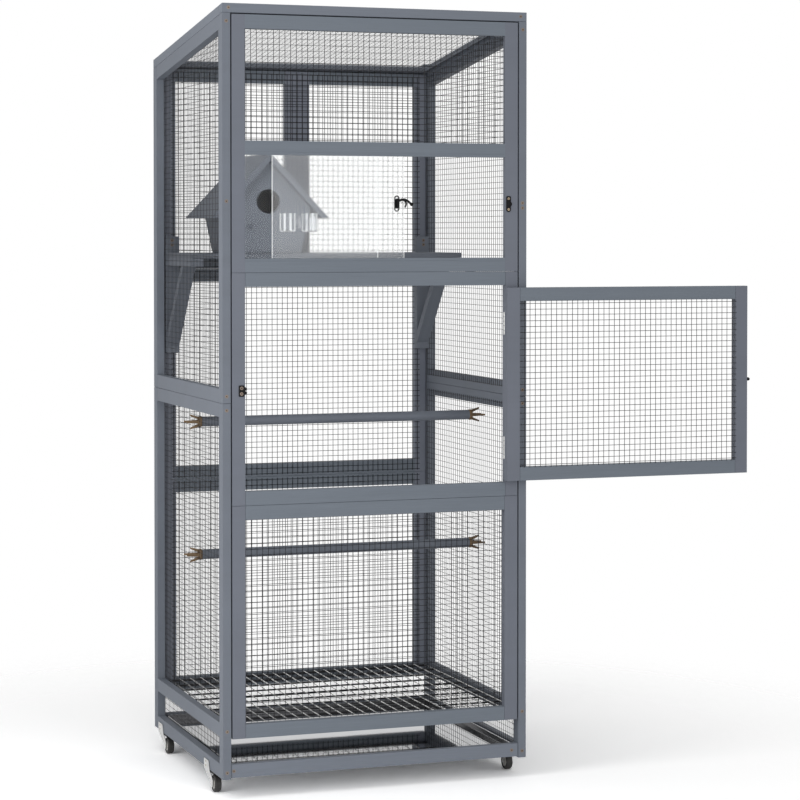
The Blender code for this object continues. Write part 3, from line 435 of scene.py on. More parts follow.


# Countersunk head, its face towards out; its cross recess is a flat black cross in the next slot: painted
# shade
def screwHead(stock, at, out, radius=3.0, slot=0, proud=0.5):
    side, other = sidesOf(out)
    dish = [(0, 0.4), (0.2, 0.5), (0.45, 0.95), (0.9, 0.8), (1, 0.3)]
    dish = [(radius * r, proud * h) for r, h in dish] + [(radius * 0.96, -0.4)]
    addTurned(stock, dish, at, out, 18, slot)
    # The cross recess: two flat strips in the next slot's black over the head, painted shade.
    for a, b in ((side, other), (other, side)):
        verts = []
        for u, v in ((-1, -1), (1, -1), (1, 1), (-1, 1)):
            off = a * u * radius * 0.5 + b * v * radius * 0.11 + Vector(out) * proud * 1.02
            verts.append(at + off * mm)
        addMesh(stock, verts, [(0, 1, 2, 3)], out, slot + 1)


report("materials and tools ready")

# Wooden frames: stiles run full height and rails stand between them


def shearAll(at):
    return Vector((at.x, at.y, at.z - slope * at.y))


# Front or back frame: two stiles, and rails given by their feet and heads
def addPanel(stock, left, right, foot, head, depth, rails, place=spot, edges=(openLeft, openRight)):
    near, far = depth
    stiles = cage["batten"]
    inner = (left + stiles if left > 30 else edges[0], right - stiles if right < 670 else edges[1])
    addBar(stock, (left, near, foot), (inner[0], far, head), upZ, place=place, slot=1)
    addBar(stock, (inner[1], near, foot), (right, far, head), upZ, place=place, slot=1)
    for low, high in rails:
        start, end = (inner[0] + seam, near + 0.15, low), (inner[1] - seam, far - 0.15, high)
        addBar(stock, start, end, upX, place=place)


def sideFrames():
    depth, batten, split = cage["depth"], cage["batten"], cage["sideSplit"]
    rise = math.sqrt(1 + slope**2)
    top = roofUnder(0) - 0.4

    def slantTop(at):
        return shearAll(at) if at.z > 1200 else at

    lower = ((0, batten), (88, 88 + batten), (split - seam - batten, split - seam))
    upper = ((split + seam, split + seam + batten), (top - batten * rise, top))
    levels = (("Lower", 0, split - seam, lower), ("Upper", split + seam, top, upper))
    for side, near in (("left", 0.0), ("right", cage["width"] - cage["thick"])):
        far = near + cage["thick"]
        for level, foot, head, rails in levels:
            stock = newStock()
            for y in (0.0, depth - batten):
                addBar(stock, (near, y, foot), (far, y + batten, head), upZ, bend=slantTop)
            for low, high in rails:
                start, end = (near + 0.15, batten + seam, low), (far - 0.15, depth - batten - seam, high)
                addBar(stock, start, end, upY, bend=slantTop)
            finishWood(f"{side}{level}Timber", stock)


def frontAndBackFrames():
    low, mid, high = cage["levels"]
    b, top = cage["batten"], cage["windowTop"]
    front, back = (0.0, cage["thick"]), (cage["depth"] - cage["thick"], cage["depth"])
    backTop = roofUnder(cage["depth"]) - 0.5
    jobs = [
        ("frontLower", frameLeft, frameRight, low, mid - 0.5, front),
        ("frontMiddle", frameLeft, frameRight, mid, high - 0.5, front),
        ("backLower", frameLeft, frameRight, low, mid - 0.5, back),
        ("backMiddle", frameLeft, frameRight, mid, high - 0.5, back),
        ("backUpperLeft", frameLeft, 347.25, high, backTop, back),
        ("backUpperRight", 347.75, frameRight, high, backTop, back),
    ]
    edges = {"frontLower": (49.8, 643.9), "frontMiddle": (49.8, 645.4)}
    for name, left, right, foot, head, depth in jobs:
        stock = newStock()
        rails = [(foot, foot + b), (head - b, head)]
        addPanel(stock, left, right, foot, head, depth, rails, edges=edges.get(name, (openLeft, openRight)))
        # Rails take the lighter copy of the stain and stiles the darker or lighter one: painted light and
        # shade.
        finishWood(f"{name}Timber", stock, [railStain, stileStain if depth is front else backStain])
    # The front's top frame carries the window, whose sheets run in two grooves
    stock = newStock()
    head = roofUnder(18) - 0.5
    rails = [(high, high + 24.2), (top + 5.8, top + b), (head - b, head)]
    addPanel(stock, frameLeft, frameRight, high, head, front, rails)
    for near, far in ((0.15, 4.0), (7.4, 10.6), (14.0, 17.85)):
        for foot, lip in ((high + 24.2, high + b), (top, top + 5.8)):
            addBar(stock, (openLeft + seam, near, foot), (openRight - seam, far, lip), upX, chamfer=0.3)
    # A thin lip along each stile, in front of the sheets
    for left, right in ((openLeft - 0.6, 49.8), (643.9, openRight + 0.6)):
        addBar(stock, (left, 0, high), (right, 3.9, head), upZ, chamfer=0.3, slot=1)
    finishWood("frontUpperTimber", stock, [railStain, stileStain])
    stock = newStock()
    addBar(stock, (inLeft, 593.5, 3), (inRight, 608.5, 32), upX)
    finishWood("backSillTimber", stock, node="back_sill")


# The roof's side and back battens are planed thinner towards the mesh
def roofTimber():
    stock = newStock()
    high, b = cage["frontTop"], cage["batten"]
    w, d = cage["width"], cage["depth"]
    low = high - cage["roofThick"]
    thin = 8.5

    def planed(at):
        inside = at.y < d - b + 1 if at.y > d - b - 0.2 else b - 1 < at.x < w - b + 1
        return shearAll(Vector((at.x, at.y, at.z - thin if inside and at.z > low + 5 else at.z)))

    addBar(stock, (0, 0, low), (w, b, high), upX, bend=shearAll)
    for left, right in ((0, b), (w - b, w)):
        addBar(stock, (left, d - b, low), (right, d, high), upX, bend=shearAll)
    addBar(stock, (b, d - b, low), (w - b, d, high), upX, bend=planed)
    for x in (0.0, w - b):
        addBar(stock, (x, b + seam, low), (x + b, d - b - seam, high - 0.1), upY, bend=planed)
    finishWood("roofTimber", stock, [roofStain])


def doorTimber():
    stock = newStock()
    foot, head, b = cage["doorFoot"], cage["doorHead"], cage["batten"]
    rails = [(foot, foot + b), (head - b, head)]
    addPanel(stock, cage["doorLeft"], cage["doorRight"], foot, head, (0.0, cage["thick"]), rails, doorSpot)
    finishWood("doorTimber", stock, [railStain, stileStain], "door")


sideFrames()
frontAndBackFrames()
roofTimber()
doorTimber()
report("timber frames made")

# Wire cloth: true 12.7 mm cells of round wire, with a slight waviness

cloth = {
    "pitch": 12.7,  # cell size
    "gauge": 1.3,  # wire thickness
    "sideGauge": 1.02,
    "roofGauge": 0.75,
    "wave": 0.04,  # how far a wire strays
    "step": 42.0,  # length between the points of a wire
    "sides": 6,
}


# Points of one wire from start to end, straying a little along across
def wirePath(start, end, across, seed):
    length = (end - start).length
    count = max(2, int(length / cloth["step"]) + 1)
    lie = random.Random(seed)
    phase, rate = lie.random() * 6.28, 0.018 + lie.random() * 0.02
    points = []
    for i in range(count + 1):
        t = i / count
        stray = math.sin(phase + rate * t * length) * cloth["wave"] * math.sin(math.pi * t)
        points.append(start.lerp(end, t) + across * stray)
    return points


def whole(kind, at, low, high):
    return low, high


# Welded cloth over (u0, v0, u1, v1), with wires through the point given after them; lift turns the
# cloth's own directions into places, and clip cuts a wire to length
def addCloth(name, box, lift, seed, gauge=cloth["gauge"], clip=whole, body="cage"):
    u0, v0, u1, v1, throughU, throughV = box
    verts, faces = [], []
    pitch, sides = cloth["pitch"], cloth["sides"]

    def run(start, end, across, layer):
        flat = wirePath(Vector(start), Vector(end), across, seed)
        path = [lift(p.x, p.y, layer) for p in flat]
        more = rodSkin(path, [gauge / 2] * len(path), sides, len(verts))
        verts.extend(more[0])
        faces.extend(more[1])

    def spread(low, high, through):
        first = through - math.floor((through - low) / pitch) * pitch
        return [first + i * pitch for i in range(int((high - first) / pitch) + 1)]

    for u in spread(u0, u1, throughU):
        seed += 1
        low, high = clip("u", u, v0, v1)
        run((u, low, 0), (u, high, 0), upX, 0.0)
    for v in spread(v0, v1, throughV):
        seed += 1
        low, high = clip("v", v, u0, u1)
        run((low, v, 0), (high, v, 0), upY, gauge * 0.86)
    stock = newStock()
    addMesh(stock, verts, faces, upZ)
    finishPiece(f"{name}Cloth", stock, [wireBlack], "dark_wire", body)


# Ways to place a cloth's own directions on a side or a front; layers stack away from the frame
def sideLift(base, sign):
    return lambda u, v, layer: spot(base + sign * layer, u, v)


def frontLift(base, sign, place=spot):
    return lambda u, v, layer: place(u, base + sign * layer, v)


def wireCloths():
    near, far = 24.0, 586.0
    g, half = cloth["gauge"] / 2, cloth["pitch"] / 2
    throughY, throughZ = 283.0 + half, 446.0 + half  # the perches lie in the middle of cells
    fine = cloth["sideGauge"]
    roofRoom = 7.2  # between a wire's end and the roof's underside

    def underRoof(kind, at, low, high):
        end = roofUnder(at) - roofRoom if kind == "u" else (roofUnder(0) - roofRoom - at) / slope
        return low, min(high, end)

    for side, base, sign in (("left", 18.35 + fine / 2, 1), ("right", 676.65 - fine / 2, -1)):
        lift = sideLift(base, sign)
        box = (near, 18, far, 786, throughY, throughZ)
        addCloth(f"{side}Lower", box, lift, 100 + int(base), fine)
        box = (near, 819, far, roofUnder(near) - 8, throughY, throughZ)
        addCloth(f"{side}Upper", box, lift, 300 + int(base), fine, underRoof)
    low, mid, high = cage["levels"]
    left, right, middle = 37.0, 658.0, 347.5
    front, back = frontLift(18.35 + g, 1), frontLift(591.65 - g, -1)
    jobs = [
        ("frontLower", low + 4, mid - 4, front),
        ("frontUpper", cage["windowTop"] + 4, roofUnder(21.3) - roofRoom, front),
        ("backLower", low + 4, mid - 4, back),
        ("backMiddle", mid + 4, high - 4, back),
        ("backUpper", high + 4, roofUnder(cage["depth"]) - roofRoom, back),
    ]
    for i, (name, foot, head, lift) in enumerate(jobs):
        box = (left, foot, right, head, middle, (foot + head) / 2)
        addCloth(name, box, lift, 500 + 200 * i)
    thin = cloth["roofGauge"]
    top = roofUnder(0) - 0.4 - thin / 2
    lift = lambda u, v, layer: spot(u, v, top - layer - slope * v)
    addCloth("roof", (25.5, 25.5, 669.5, 584.5, middle, 305.0), lift, 1700, thin)
    lift = frontLift(18.35 + g, 1, doorSpot)
    box = (cage["doorLeft"] + 29, cage["doorFoot"] + 29, cage["doorRight"] - 29, cage["doorHead"] - 29)
    addCloth("door", (*box, 350.0, 831.0), lift, 1900, body="door")


wireCloths()
report("wire cloth woven")

# Fixings: screw heads, staples, hinges, latches

fixings = {
    "screwRadius": 3.8,
    "stapleWidth": 9.0,
    "stapleWire": 0.75,
    "stapleGap": 92.0,
}


def frameScrews():
    stock = newStock()
    w, d = cage["width"], cage["depth"]

    def frontScrew(x, z, y=0, proud=0.25):
        screwHead(stock, spot(x, y, z), -upY, fixings["screwRadius"], proud=proud)

    def backScrew(x, z, y=d - 0.3, proud=0.28):
        screwHead(stock, spot(x, y, z), upY, fixings["screwRadius"], proud=proud)

    for x in (9.0, w - 9.0):
        for z in (15.0, 103.0, 787.0, 817.0, 1612.0):
            frontScrew(x, z)
            backScrew(x, z if z < 1500 else roofUnder(d) - 17)
    for x in (14.0, w - 14.0):
        frontScrew(x, 1640.5)
        backScrew(x, roofUnder(d) + 9.5)
    for x in (25.0, w - 25.0):
        backScrew(x, 17.5, 608.5, 0.4)
    for x, z in ((9.0, 1231.0), (w - 9.5, 1230.0), (w - 9.5, 1219.0)):
        frontScrew(x, z)
    for x in (34.3, 660.7):
        for z in (908.0, 1136.0, 1146.5):
            frontScrew(x, z, 570.7, 0.4)
    finishPiece("frameScrews", stock, [dullBrass, ironBlackAndShade])
    stock = newStock()
    for x in (24.0, 661.5):
        screwHead(stock, spot(x, 1.5, 17.8), -upY, fixings["screwRadius"], proud=0.6)
    finishPiece("trayScrews", stock, [dullBrass, ironBlackAndShade], body="tray")


def addStaple(stock, at, lie, out):
    half = fixings["stapleWidth"] / 2
    rise = cloth["gauge"] * 1.9 + fixings["stapleWire"] * 0.45
    leg = [(-half, -1.2), (-half, rise * 0.8), (-half + 0.8, rise)]
    path = [at + (lie * along + out * high) * mm for along, high in leg + [(-u, v) for u, v in leg[::-1]]]
    addTube(stock, path, fixings["stapleWire"] / 2, 5)


# Staples round a cloth's border; lift turns the cloth's own directions into places
def addStaples(stock, box, lift, out, uLie, vLie):
    u0, v0, u1, v1 = box
    edges = ((u0, u1, v0, uLie, 0), (u0, u1, v1, uLie, 0), (v0, v1, u0, vLie, 1), (v0, v1, u1, vLie, 1))
    for start, end, fixed, lie, across in edges:
        count = max(2, round((end - start) / fixings["stapleGap"]))
        for i in range(count):
            run = start + (end - start) * (i + 0.5) / count + rng.uniform(-9, 9)
            tilt = rng.uniform(-0.35, 0.35)
            lean = (lie + (vLie if lie == uLie else uLie) * tilt).normalized()
            at = lift(fixed, run, 0) if across else lift(run, fixed, 0)
            addStaple(stock, at, lean, out)


def staples():
    low, mid, high = cage["levels"]
    thick, left, right = cage["thick"], 43.0, 652.0
    behind = cage["depth"] - thick
    stock = newStock()
    for foot, head in ((low, mid - 20), (cage["windowTop"], roofUnder(thick) - 22)):
        addStaples(stock, (left, foot + 20, right, head), frontLift(thick, 0), upY, upX, upZ)
    for foot, head in ((low, mid), (mid, high), (high, roofUnder(behind) - 8)):
        addStaples(stock, (left, foot + 20, right, head - 20), frontLift(behind, 0), -upY, upX, upZ)
    for x, out in ((thick, upX), (cage["width"] - thick, -upX)):
        addStaples(stock, (27.5, 24, 582.5, 778), sideLift(x, 0), out, upY, upZ)
        addStaples(stock, (27.5, 826, 582.5, roofUnder(582) - 16), sideLift(x, 0), out, upY, upZ)
    finishPiece("cageStaples", stock, [staple])


hinge = {
    "heights": (691.0, 965.0),
    "length": 50.0,
    "reach": 22.0,  # from the pin to a leaf's edge
    "barrel": 3.2,
    "leaf": 1.2,
    "knuckles": 5,
}


def hinges():
    pin, pinY = cage["hinge"]
    barrel, leaf, length = hinge["barrel"], hinge["leaf"], hinge["length"]
    part = length / hinge["knuckles"]
    near, far, long = barrel + 0.6, hinge["reach"], part - 0.5
    rod = [(0, 0), (barrel - 0.4, 0), (barrel, 0.4), (barrel, long - 0.4), (barrel - 0.4, long), (0, long)]
    jobs = (("Post", "cage", spot, 1, (0, 2, 4)), ("Door", "door", doorSpot, -1, (1, 3)))
    for label, z in zip(("lower", "upper"), hinge["heights"]):
        foot, head = z - length / 2, z + length / 2
        for name, body, place, side, mine in jobs:
            stock = newStock()
            outline = [(near, foot)]
            for step in range(hinge["knuckles"]):
                edge, low = 0.4 if step in mine else near, foot + step * part
                outline += [(edge, low + 0.2), (edge, low + part - 0.2)]
            outline += [(near, head), (far - 1.5, head), (far, head - 1.5)]
            outline += [(far, foot + 1.5), (far - 1.5, foot)]
            lift = lambda u, v, d: (pin + side * u, -0.3 - leaf + d, v)
            addBoard(stock, outline, leaf, lift, upZ, 0.15, place)
            for step in mine:
                addTurned(stock, rod, place(pin, pinY, foot + step * part + 0.25), upZ, 20)
            for rise in (-15.5, 0.0, 15.5):
                at = place(pin + side * (13.5 if rise else 17.0), -0.3 - leaf, z + rise)
                screwHead(stock, at, -upY if place is spot else upY, 2.3, proud=0.35)
            finishPiece(f"{label}Hinge{name}Leaf", stock, [zinc, ironBlackAndShade], "zinc", body)


latch = {
    "width": 11.4,
    "height": 35.0,
    "plate": 1.5,
    "proud": 6.5,  # barrel's distance in front of the cage's face
    "knob": 3.9,
    "window": (392.3, 1227.6),
    "door": (72.5, 832.0),
}


# Plate with rounded ends and two eyes, and a yoke that holds the lever's barrel
def addLatchPlate(stock, x, z, face, place):
    half, tall, plate = latch["width"] / 2, latch["height"] / 2, latch["plate"]
    eyes = (z + tall - half, z - tall + half)
    ring = arc(x, eyes[0], half, range(0, 181, 15)) + arc(x, eyes[1], half, range(180, 361, 15))
    holes = [arc(x, eye, 3.4, range(0, 360, 24)) for eye in eyes]
    near = face - 0.3 - plate
    addBoard(stock, ring, plate, lambda u, v, d: (u, near + d, v), upZ, 0.35, place, holes)
    low, high = (x - half + 0.3, near - 1.6, z - 9.0), (x + half - 0.3, near + 0.3, z + 9.0)
    addBar(stock, low, high, upZ, 0.5, place)
    for offset in (-9.45, 9.45):
        rod = [(0, 0), (2.5, 0), (3.0, 0.4), (3.0, 2.3), (2.5, 2.7), (0, 2.7)]
        addTurned(stock, rod, place(x, -latch["proud"], z + offset - 1.35), upZ, 20)
        low = (x - 2.3, -latch["proud"] + 0.5, z + offset - 1.25)
        addBar(stock, low, (x + 2.3, near + 0.3, z + offset + 1.25), upZ, 0.3, place)
    if place is doorSpot:
        for eye in eyes:
            screwHead(stock, place(x, near, eye), upY, 3.2, 1, 0.5)


# Ribbed barrel, and a curved arm with a hooked finger and a ball
def addLever(stock, x, z, side, place):
    y = -latch["proud"]
    rod = [(0, -7.75), (2.4, -7.75), (3.0, -7.3)]
    for rib in range(7):
        low = -6.6 + rib * 2.0
        rod += [(3.0, low - 0.2), (2.55, low + 0.15), (2.55, low + 0.55), (3.0, low + 0.9)]
    rod += [(3.0, 7.3), (2.4, 7.75), (0, 7.75)]
    addTurned(stock, rod, place(x, y, z), upZ, 20)
    arm = [(0, 5.2), (3.5, 6.6), (7.5, 7.9), (11.5, 8.4), (16, 8.1), (20.5, 6.3), (24.5, 3.4), (28, 0.2)]
    arm += [(30.8, -2.2)]
    finger = [(12.5, 7.6), (16.6, 4.6), (18.0, 0.4), (17.4, -4.2), (15.2, -8.4)]
    for line, thick, taper, power in ((arm, 2.8, 0.4, 1), (finger, 2.2, 0.6, 2)):
        path = smoothPath([place(x + side * u, y, z + v) for u, v in line], 4)
        addTube(stock, path, [thick - taper * (i / (len(path) - 1)) ** power for i in range(len(path))], 10)
    ball = [(latch["knob"] * v, -latch["knob"] * u) for u, v in arc(0, 0, 1, range(0, 181, 15))]
    addTurned(stock, ball, place(x + side * 30.9, y, z - 1.7), upZ, 20)


def smoothPath(points, steps):
    out = []
    for i in range(len(points) - 1):
        a, b = points[max(i - 1, 0)], points[i]
        c, d = points[i + 1], points[min(i + 2, len(points) - 1)]
        for k in range(steps):
            t = k / steps
            bow = (2 * a - 5 * b + 4 * c - d) * t**2 + (3 * b - a - 3 * c + d) * t**3
            out.append(0.5 * ((2 * b) + (c - a) * t + bow))
    out.append(points[-1])
    return out


# Screwed plate for a lever's end: the window's tall one has a boss, the door's has a forked catch
def addKeeper(stock, x, z, tall):
    half, right, gap, upper, lower = (17.5, 4.8, 11.9, 2.5, 5.0) if tall else (12.0, 6.0, 6.0, 1.5, 1.5)
    plate, ring = latch["plate"], []
    ends = ((right, half, upper), (-6.0, half, upper), (-6.0, -half, lower), (right, -half, lower))
    for start, (u, v, soft) in zip((0, 90, 180, 270), ends):
        middle = (x + (u - math.copysign(soft, u)), z + (v - math.copysign(soft, v)))
        ring += arc(*middle, soft, range(start, start + 91, 18))
    addBoard(stock, ring, plate, lambda u, v, d: (u, -0.3 - plate + d, v), upZ, 0.35)
    if tall:
        boss = [(0, 0), (5.6, 0), (5.9, 0.3), (5.2, 0.8), (0, 0.9)]
        addTurned(stock, boss, spot(x + 1.4, -1.6, z), -upY, 28)
    else:
        fork = [(4, -8.6), (9.5, -8.0), (12, -5.0), (12, -2.2), (9.6, -1.6)]
        fork = fork + [(8.6, 0)] + [(u, -v) for u, v in fork[::-1]]
        fork = [(x + u, z + v) for u, v in fork]
        addBoard(stock, fork, 1.9, lambda u, v, d: (u, -2.3 + d, v), upZ, 0.4)
    for up in (gap, -gap):
        at = spot(x + (-0.6 if tall else 0.2), -0.3 - plate, z + up)
        screwHead(stock, at, -upY, 2.8 if tall else 3.8, 1, 0.5)


def latches():
    jobs = [
        ("window", latch["window"], 4.2, spot, 1, "front_sheet", ()),
        ("door", latch["door"], 0.0, doorSpot, -1, "door", (brass, ironBlackAndShade)),
    ]
    for name, (x, z), face, place, side, body, screws in jobs:
        stock = newStock()
        addLatchPlate(stock, x, z, face, place)
        finishIron(f"{name}LatchPlate", stock, body, screws)
        stock = newStock()
        addLever(stock, x, z, side, place)
        finishIron(f"{name}LatchLever", stock, f"{name}_lever")
    for name, x, z, screw in (("window", 652.5, latch["window"][1], brass), ("door", 41.3, 828.0, dullBrass)):
        stock = newStock()
        addKeeper(stock, x, z, name == "window")
        finishIron(f"{name}Keeper", stock, "cage", (screw, ironBlackAndShade))


frameScrews()
staples()
hinges()
latches()
report("screws, staples, hinges and latches fitted")

# Sliding window sheets and the feeder cups

window = {
    "thick": 3.0,
    "rear": (49.8, 302.0, 12.3),  # left edge, width and middle of the rear sheet
    "front": (110.9, 299.1, 5.7),
    "foot": 1104.5,
    "head": 1335.0,
    "lip": 0.45,  # how far the sawn edge shows on the faces
    "round": 0.5,
}

cups = {
    "middles": (153.4, 202.6),
    "radius": 17.8,
    "foot": 1166.0,
    "height": 40.0,
    "wall": 1.4,
    "back": 14.1,  # face of the clip against the sheet
    "ribEvery": 45.0,  # degrees between the wall's painted highlight stripes
    "ribWide": 16.0,
}


def windowSheets():
    def isBroad(face):
        return abs(face.normal.y) > 0.99 and face.calc_area() > 0.01

    for name, look in (("rear", rearClear), ("front", frontClear)):
        left, width, middle = window[name]
        stock = newStock()
        half = window["thick"] / 2
        low, high = (left, middle - half, window["foot"]), (left + width, middle + half, window["head"])
        work = bmesh.new()
        bmesh.ops.create_cube(work, size=1.0)
        for v in work.verts:
            v.co = spot(*((high[i] + low[i]) / 2 + v.co[i] * (high[i] - low[i]) for i in range(3)))
        soft = {"segments": 2, "profile": 0.6, "affect": "EDGES"}
        bmesh.ops.bevel(work, geom=list(work.edges), offset=window["round"] * mm, **soft)
        flats = [f for f in work.faces if isBroad(f)]
        bmesh.ops.inset_individual(work, faces=flats, thickness=window["lip"] * mm, depth=0)
        broad = [isBroad(f) for f in work.faces]
        verts, faces = meshParts(work)
        work.free()
        for slot, wanted in enumerate((True, False)):
            addMesh(stock, verts, [f for f, b in zip(faces, broad) if b is wanted], upX, slot)
        bmesh.ops.remove_doubles(stock, verts=stock.verts, dist=1e-6)
        finishPiece(f"{name}WindowSheet", stock, [look, sheetEdge], "clear_sheet", f"{name}_sheet")


def feederCups():
    stock = newStock()
    r, wall, foot, tall, back = cups["radius"], cups["wall"], cups["foot"], cups["height"], cups["back"]
    inner = r - wall
    profile = [(0, 0), (r - 3.0, 0), (r - 1.2, 0.6), (r - 0.6, 2.2), (r - 0.5, tall - 3.4), (r, tall - 2.8)]
    profile += [(r, tall - 0.4), (r - 0.4, tall), (inner + 0.3, tall), (inner, tall - 0.5)]
    profile += [(inner - 0.2, 3.2), (inner - 2.2, wall), (0, wall)]
    for x in cups["middles"]:
        first = len(stock.faces)
        axis = spot(x, back + r + 1.5, foot)
        addTurned(stock, profile, axis, upZ, 48)
        # Stripes of the outer wall at set angles take the whiter, less clear plastic: painted highlights.
        stock.faces.ensure_lookup_table()
        for face in stock.faces[first:]:
            at = face.calc_center_median() - axis
            if abs(face.normal.z) < 0.5 and at.z > 0.004:
                rib = math.degrees(math.atan2(at.y, at.x)) % cups["ribEvery"]
                face.material_index = 1 if rib < cups["ribWide"] else 0
    middle = sum(cups["middles"]) / 2
    addBar(stock, (middle - 7, back, foot + 8), (middle + 7, back + 1.6, foot + 36), upZ, 0.5)
    addBar(stock, (middle - 18, back + 1.2, foot + 16), (middle + 18, back + 5.0, foot + 27), upX, 0.8)
    for x in (middle - 4, middle + 4):
        addBar(stock, (x - 0.8, back + 1.0, foot + 10), (x + 0.8, back + 3.2, foot + 34), upZ, 0.3)
    finishPiece("feederCups", stock, [cupClear, cupRib], "clear_sheet", "rear_sheet")


windowSheets()
feederCups()
report("window sheets and feeder cups set in")

# Shelf, its brackets and the birdhouse

shelf = {
    "front": 345.0,
    "top": 1118.0,
    "thick": 11.5,
    "left": 21.3,
    "right": 673.7,
    "back": 588.7,
    "bracketFoot": 884.0,
    "bracketTop": 1156.0,
    "run": 131.0,  # brace's run under the arm
    "drop": 161.0,
}

house = {
    "x": 206.0,
    "front": 357.0,
    "length": 200.0,
    "base": 78.0,  # half of its width at the floor
    "eave": 100.0,
    "wall": 10.0,
    "span": 139.0,
    "tip": 1198.0,
    "ridge": 1345.0,
    "board": 12.0,
    "overhang": 20.0,
    "holeZ": 1236.0,
    "holeRadius": 27.5,
    "peg": (161.0, 1179.0, 5.0),
}


def shelfAndBrackets():
    s = shelf
    left, right, front, back = s["left"], s["right"], s["front"], s["back"]
    notch, step = 30.3, back - 18.3
    ring = [(left, front), (right, front), (right, step), (right - notch, step), (right - notch, back)]
    ring += [(left + notch, back), (left + notch, step), (left, step)]
    stock = newStock()
    addBoard(stock, ring, s["thick"], lambda u, v, d: (u, v, s["top"] - s["thick"] + d), upX, 0.8)
    finishWood("shelfBoard", stock, [shelfStain])
    head = s["top"] - s["thick"] - 0.3
    armFoot, post = head - 18.0, back - 18.0
    across = 18.0 * math.hypot(s["run"], s["drop"]) / s["drop"]
    down = across * s["drop"] / s["run"]
    inner, near, low = post - s["run"], post - 0.2, armFoot - s["drop"]
    brace = [(inner - across, armFoot - 0.2), (inner, armFoot - 0.2), (near, low), (near, low - down)]
    for side, x in (("left", left), ("right", right - 30.0)):
        stock = newStock()
        addBar(stock, (x, post, s["bracketFoot"]), (x + 30, back, s["bracketTop"]), upZ)
        addBar(stock, (x, front, armFoot), (x + 30, near, head), upY)
        addBoard(stock, brace, 29.6, lambda u, v, d: (x + 0.2 + d, u, v), (0, s["run"], -s["drop"]), 0.7)
        finishWood(f"{side}ShelfBracket", stock, node=f"shelf_bracket_{side}")


def birdhouse():
    h = house
    x, front, length, wall, ridge = h["x"], h["front"], h["length"], h["wall"], h["ridge"]
    fall = (ridge - h["tip"]) / h["span"]
    rise = math.sqrt(1 + fall**2)
    base = shelf["top"] + 0.3
    gable = ridge - (h["board"] + 0.3) * rise
    eaveZ = gable - fall * h["eave"]
    half = [(h["base"], base), (h["eave"], eaveZ)]
    outline = [(x - h["base"], base)] + [(x + u, v) for u, v in half] + [(x, gable), (x - h["eave"], eaveZ)]
    hole = arc(x, h["holeZ"], h["holeRadius"], range(0, 360, 8))
    stock = newStock()
    addBoard(stock, outline, wall, lambda u, v, d: (u, front + d, v), upX, 0.7, holes=[hole])
    addBoard(stock, outline, wall, lambda u, v, d: (u, front + length - wall + d, v), upX, 0.7)
    half += [(h["eave"] - wall, eaveZ + wall * fall), (h["base"] - wall, base)]
    for sign in (-1, 1):
        trim = [(x + sign * u - sign * 0.2, v) for u, v in half]
        between = length - 2 * wall - 0.4
        addBoard(stock, trim, between, lambda u, v, d: (u, front + wall + 0.2 + d, v), upY, 0.5)
    inside, near, far = h["base"] - wall, front + wall + 0.2, front + length - wall - 0.2
    addBar(stock, (x - inside, near, base), (x + inside, far, base + wall), upY, 0.4)
    finishWood("birdhouseWalls", stock, [houseStain])
    thick, over = h["board"] * rise, h["overhang"]
    roof = [(0.15, ridge - thick), (h["span"] - thick / fall, h["tip"]), (h["span"], h["tip"]), (0.15, ridge)]
    for label, sign in (("Left", -1), ("Right", 1)):
        stock = newStock()
        ring = [(x + sign * u, v) for u, v in roof]
        addBoard(stock, ring, length + 2 * over, lambda u, v, d: (u, front - over + d, v), upY, 0.7)
        finishWood(f"birdhouseRoof{label}", stock, [houseStain])
    stock = newStock()
    pegX, pegZ, pegR = h["peg"]
    rod = [(0, 0), (pegR, 0), (pegR, 42.5), (pegR - 0.6, 44.2), (pegR - 1.8, 44.9), (0, 45)]
    addTurned(stock, rod, spot(pegX, front - 0.3, pegZ), -upY, 24, along=upY)
    finishWood("birdhousePeg", stock, [houseStain])


shelfAndBrackets()
birdhouse()
report("shelf and birdhouse in place")

# Perches: rods held at both ends by a crown whose prongs grip the side cloths

perch = {
    "y": 283.0,
    "heights": (446.0, 743.0),
    "radius": 11.0,
    "crown": 12.4,
    "crownLong": 7.0,
    "prong": 4.6,
    "tip": -8.8,  # how far out of the left face the prongs reach
    "spread": 7.4,
}


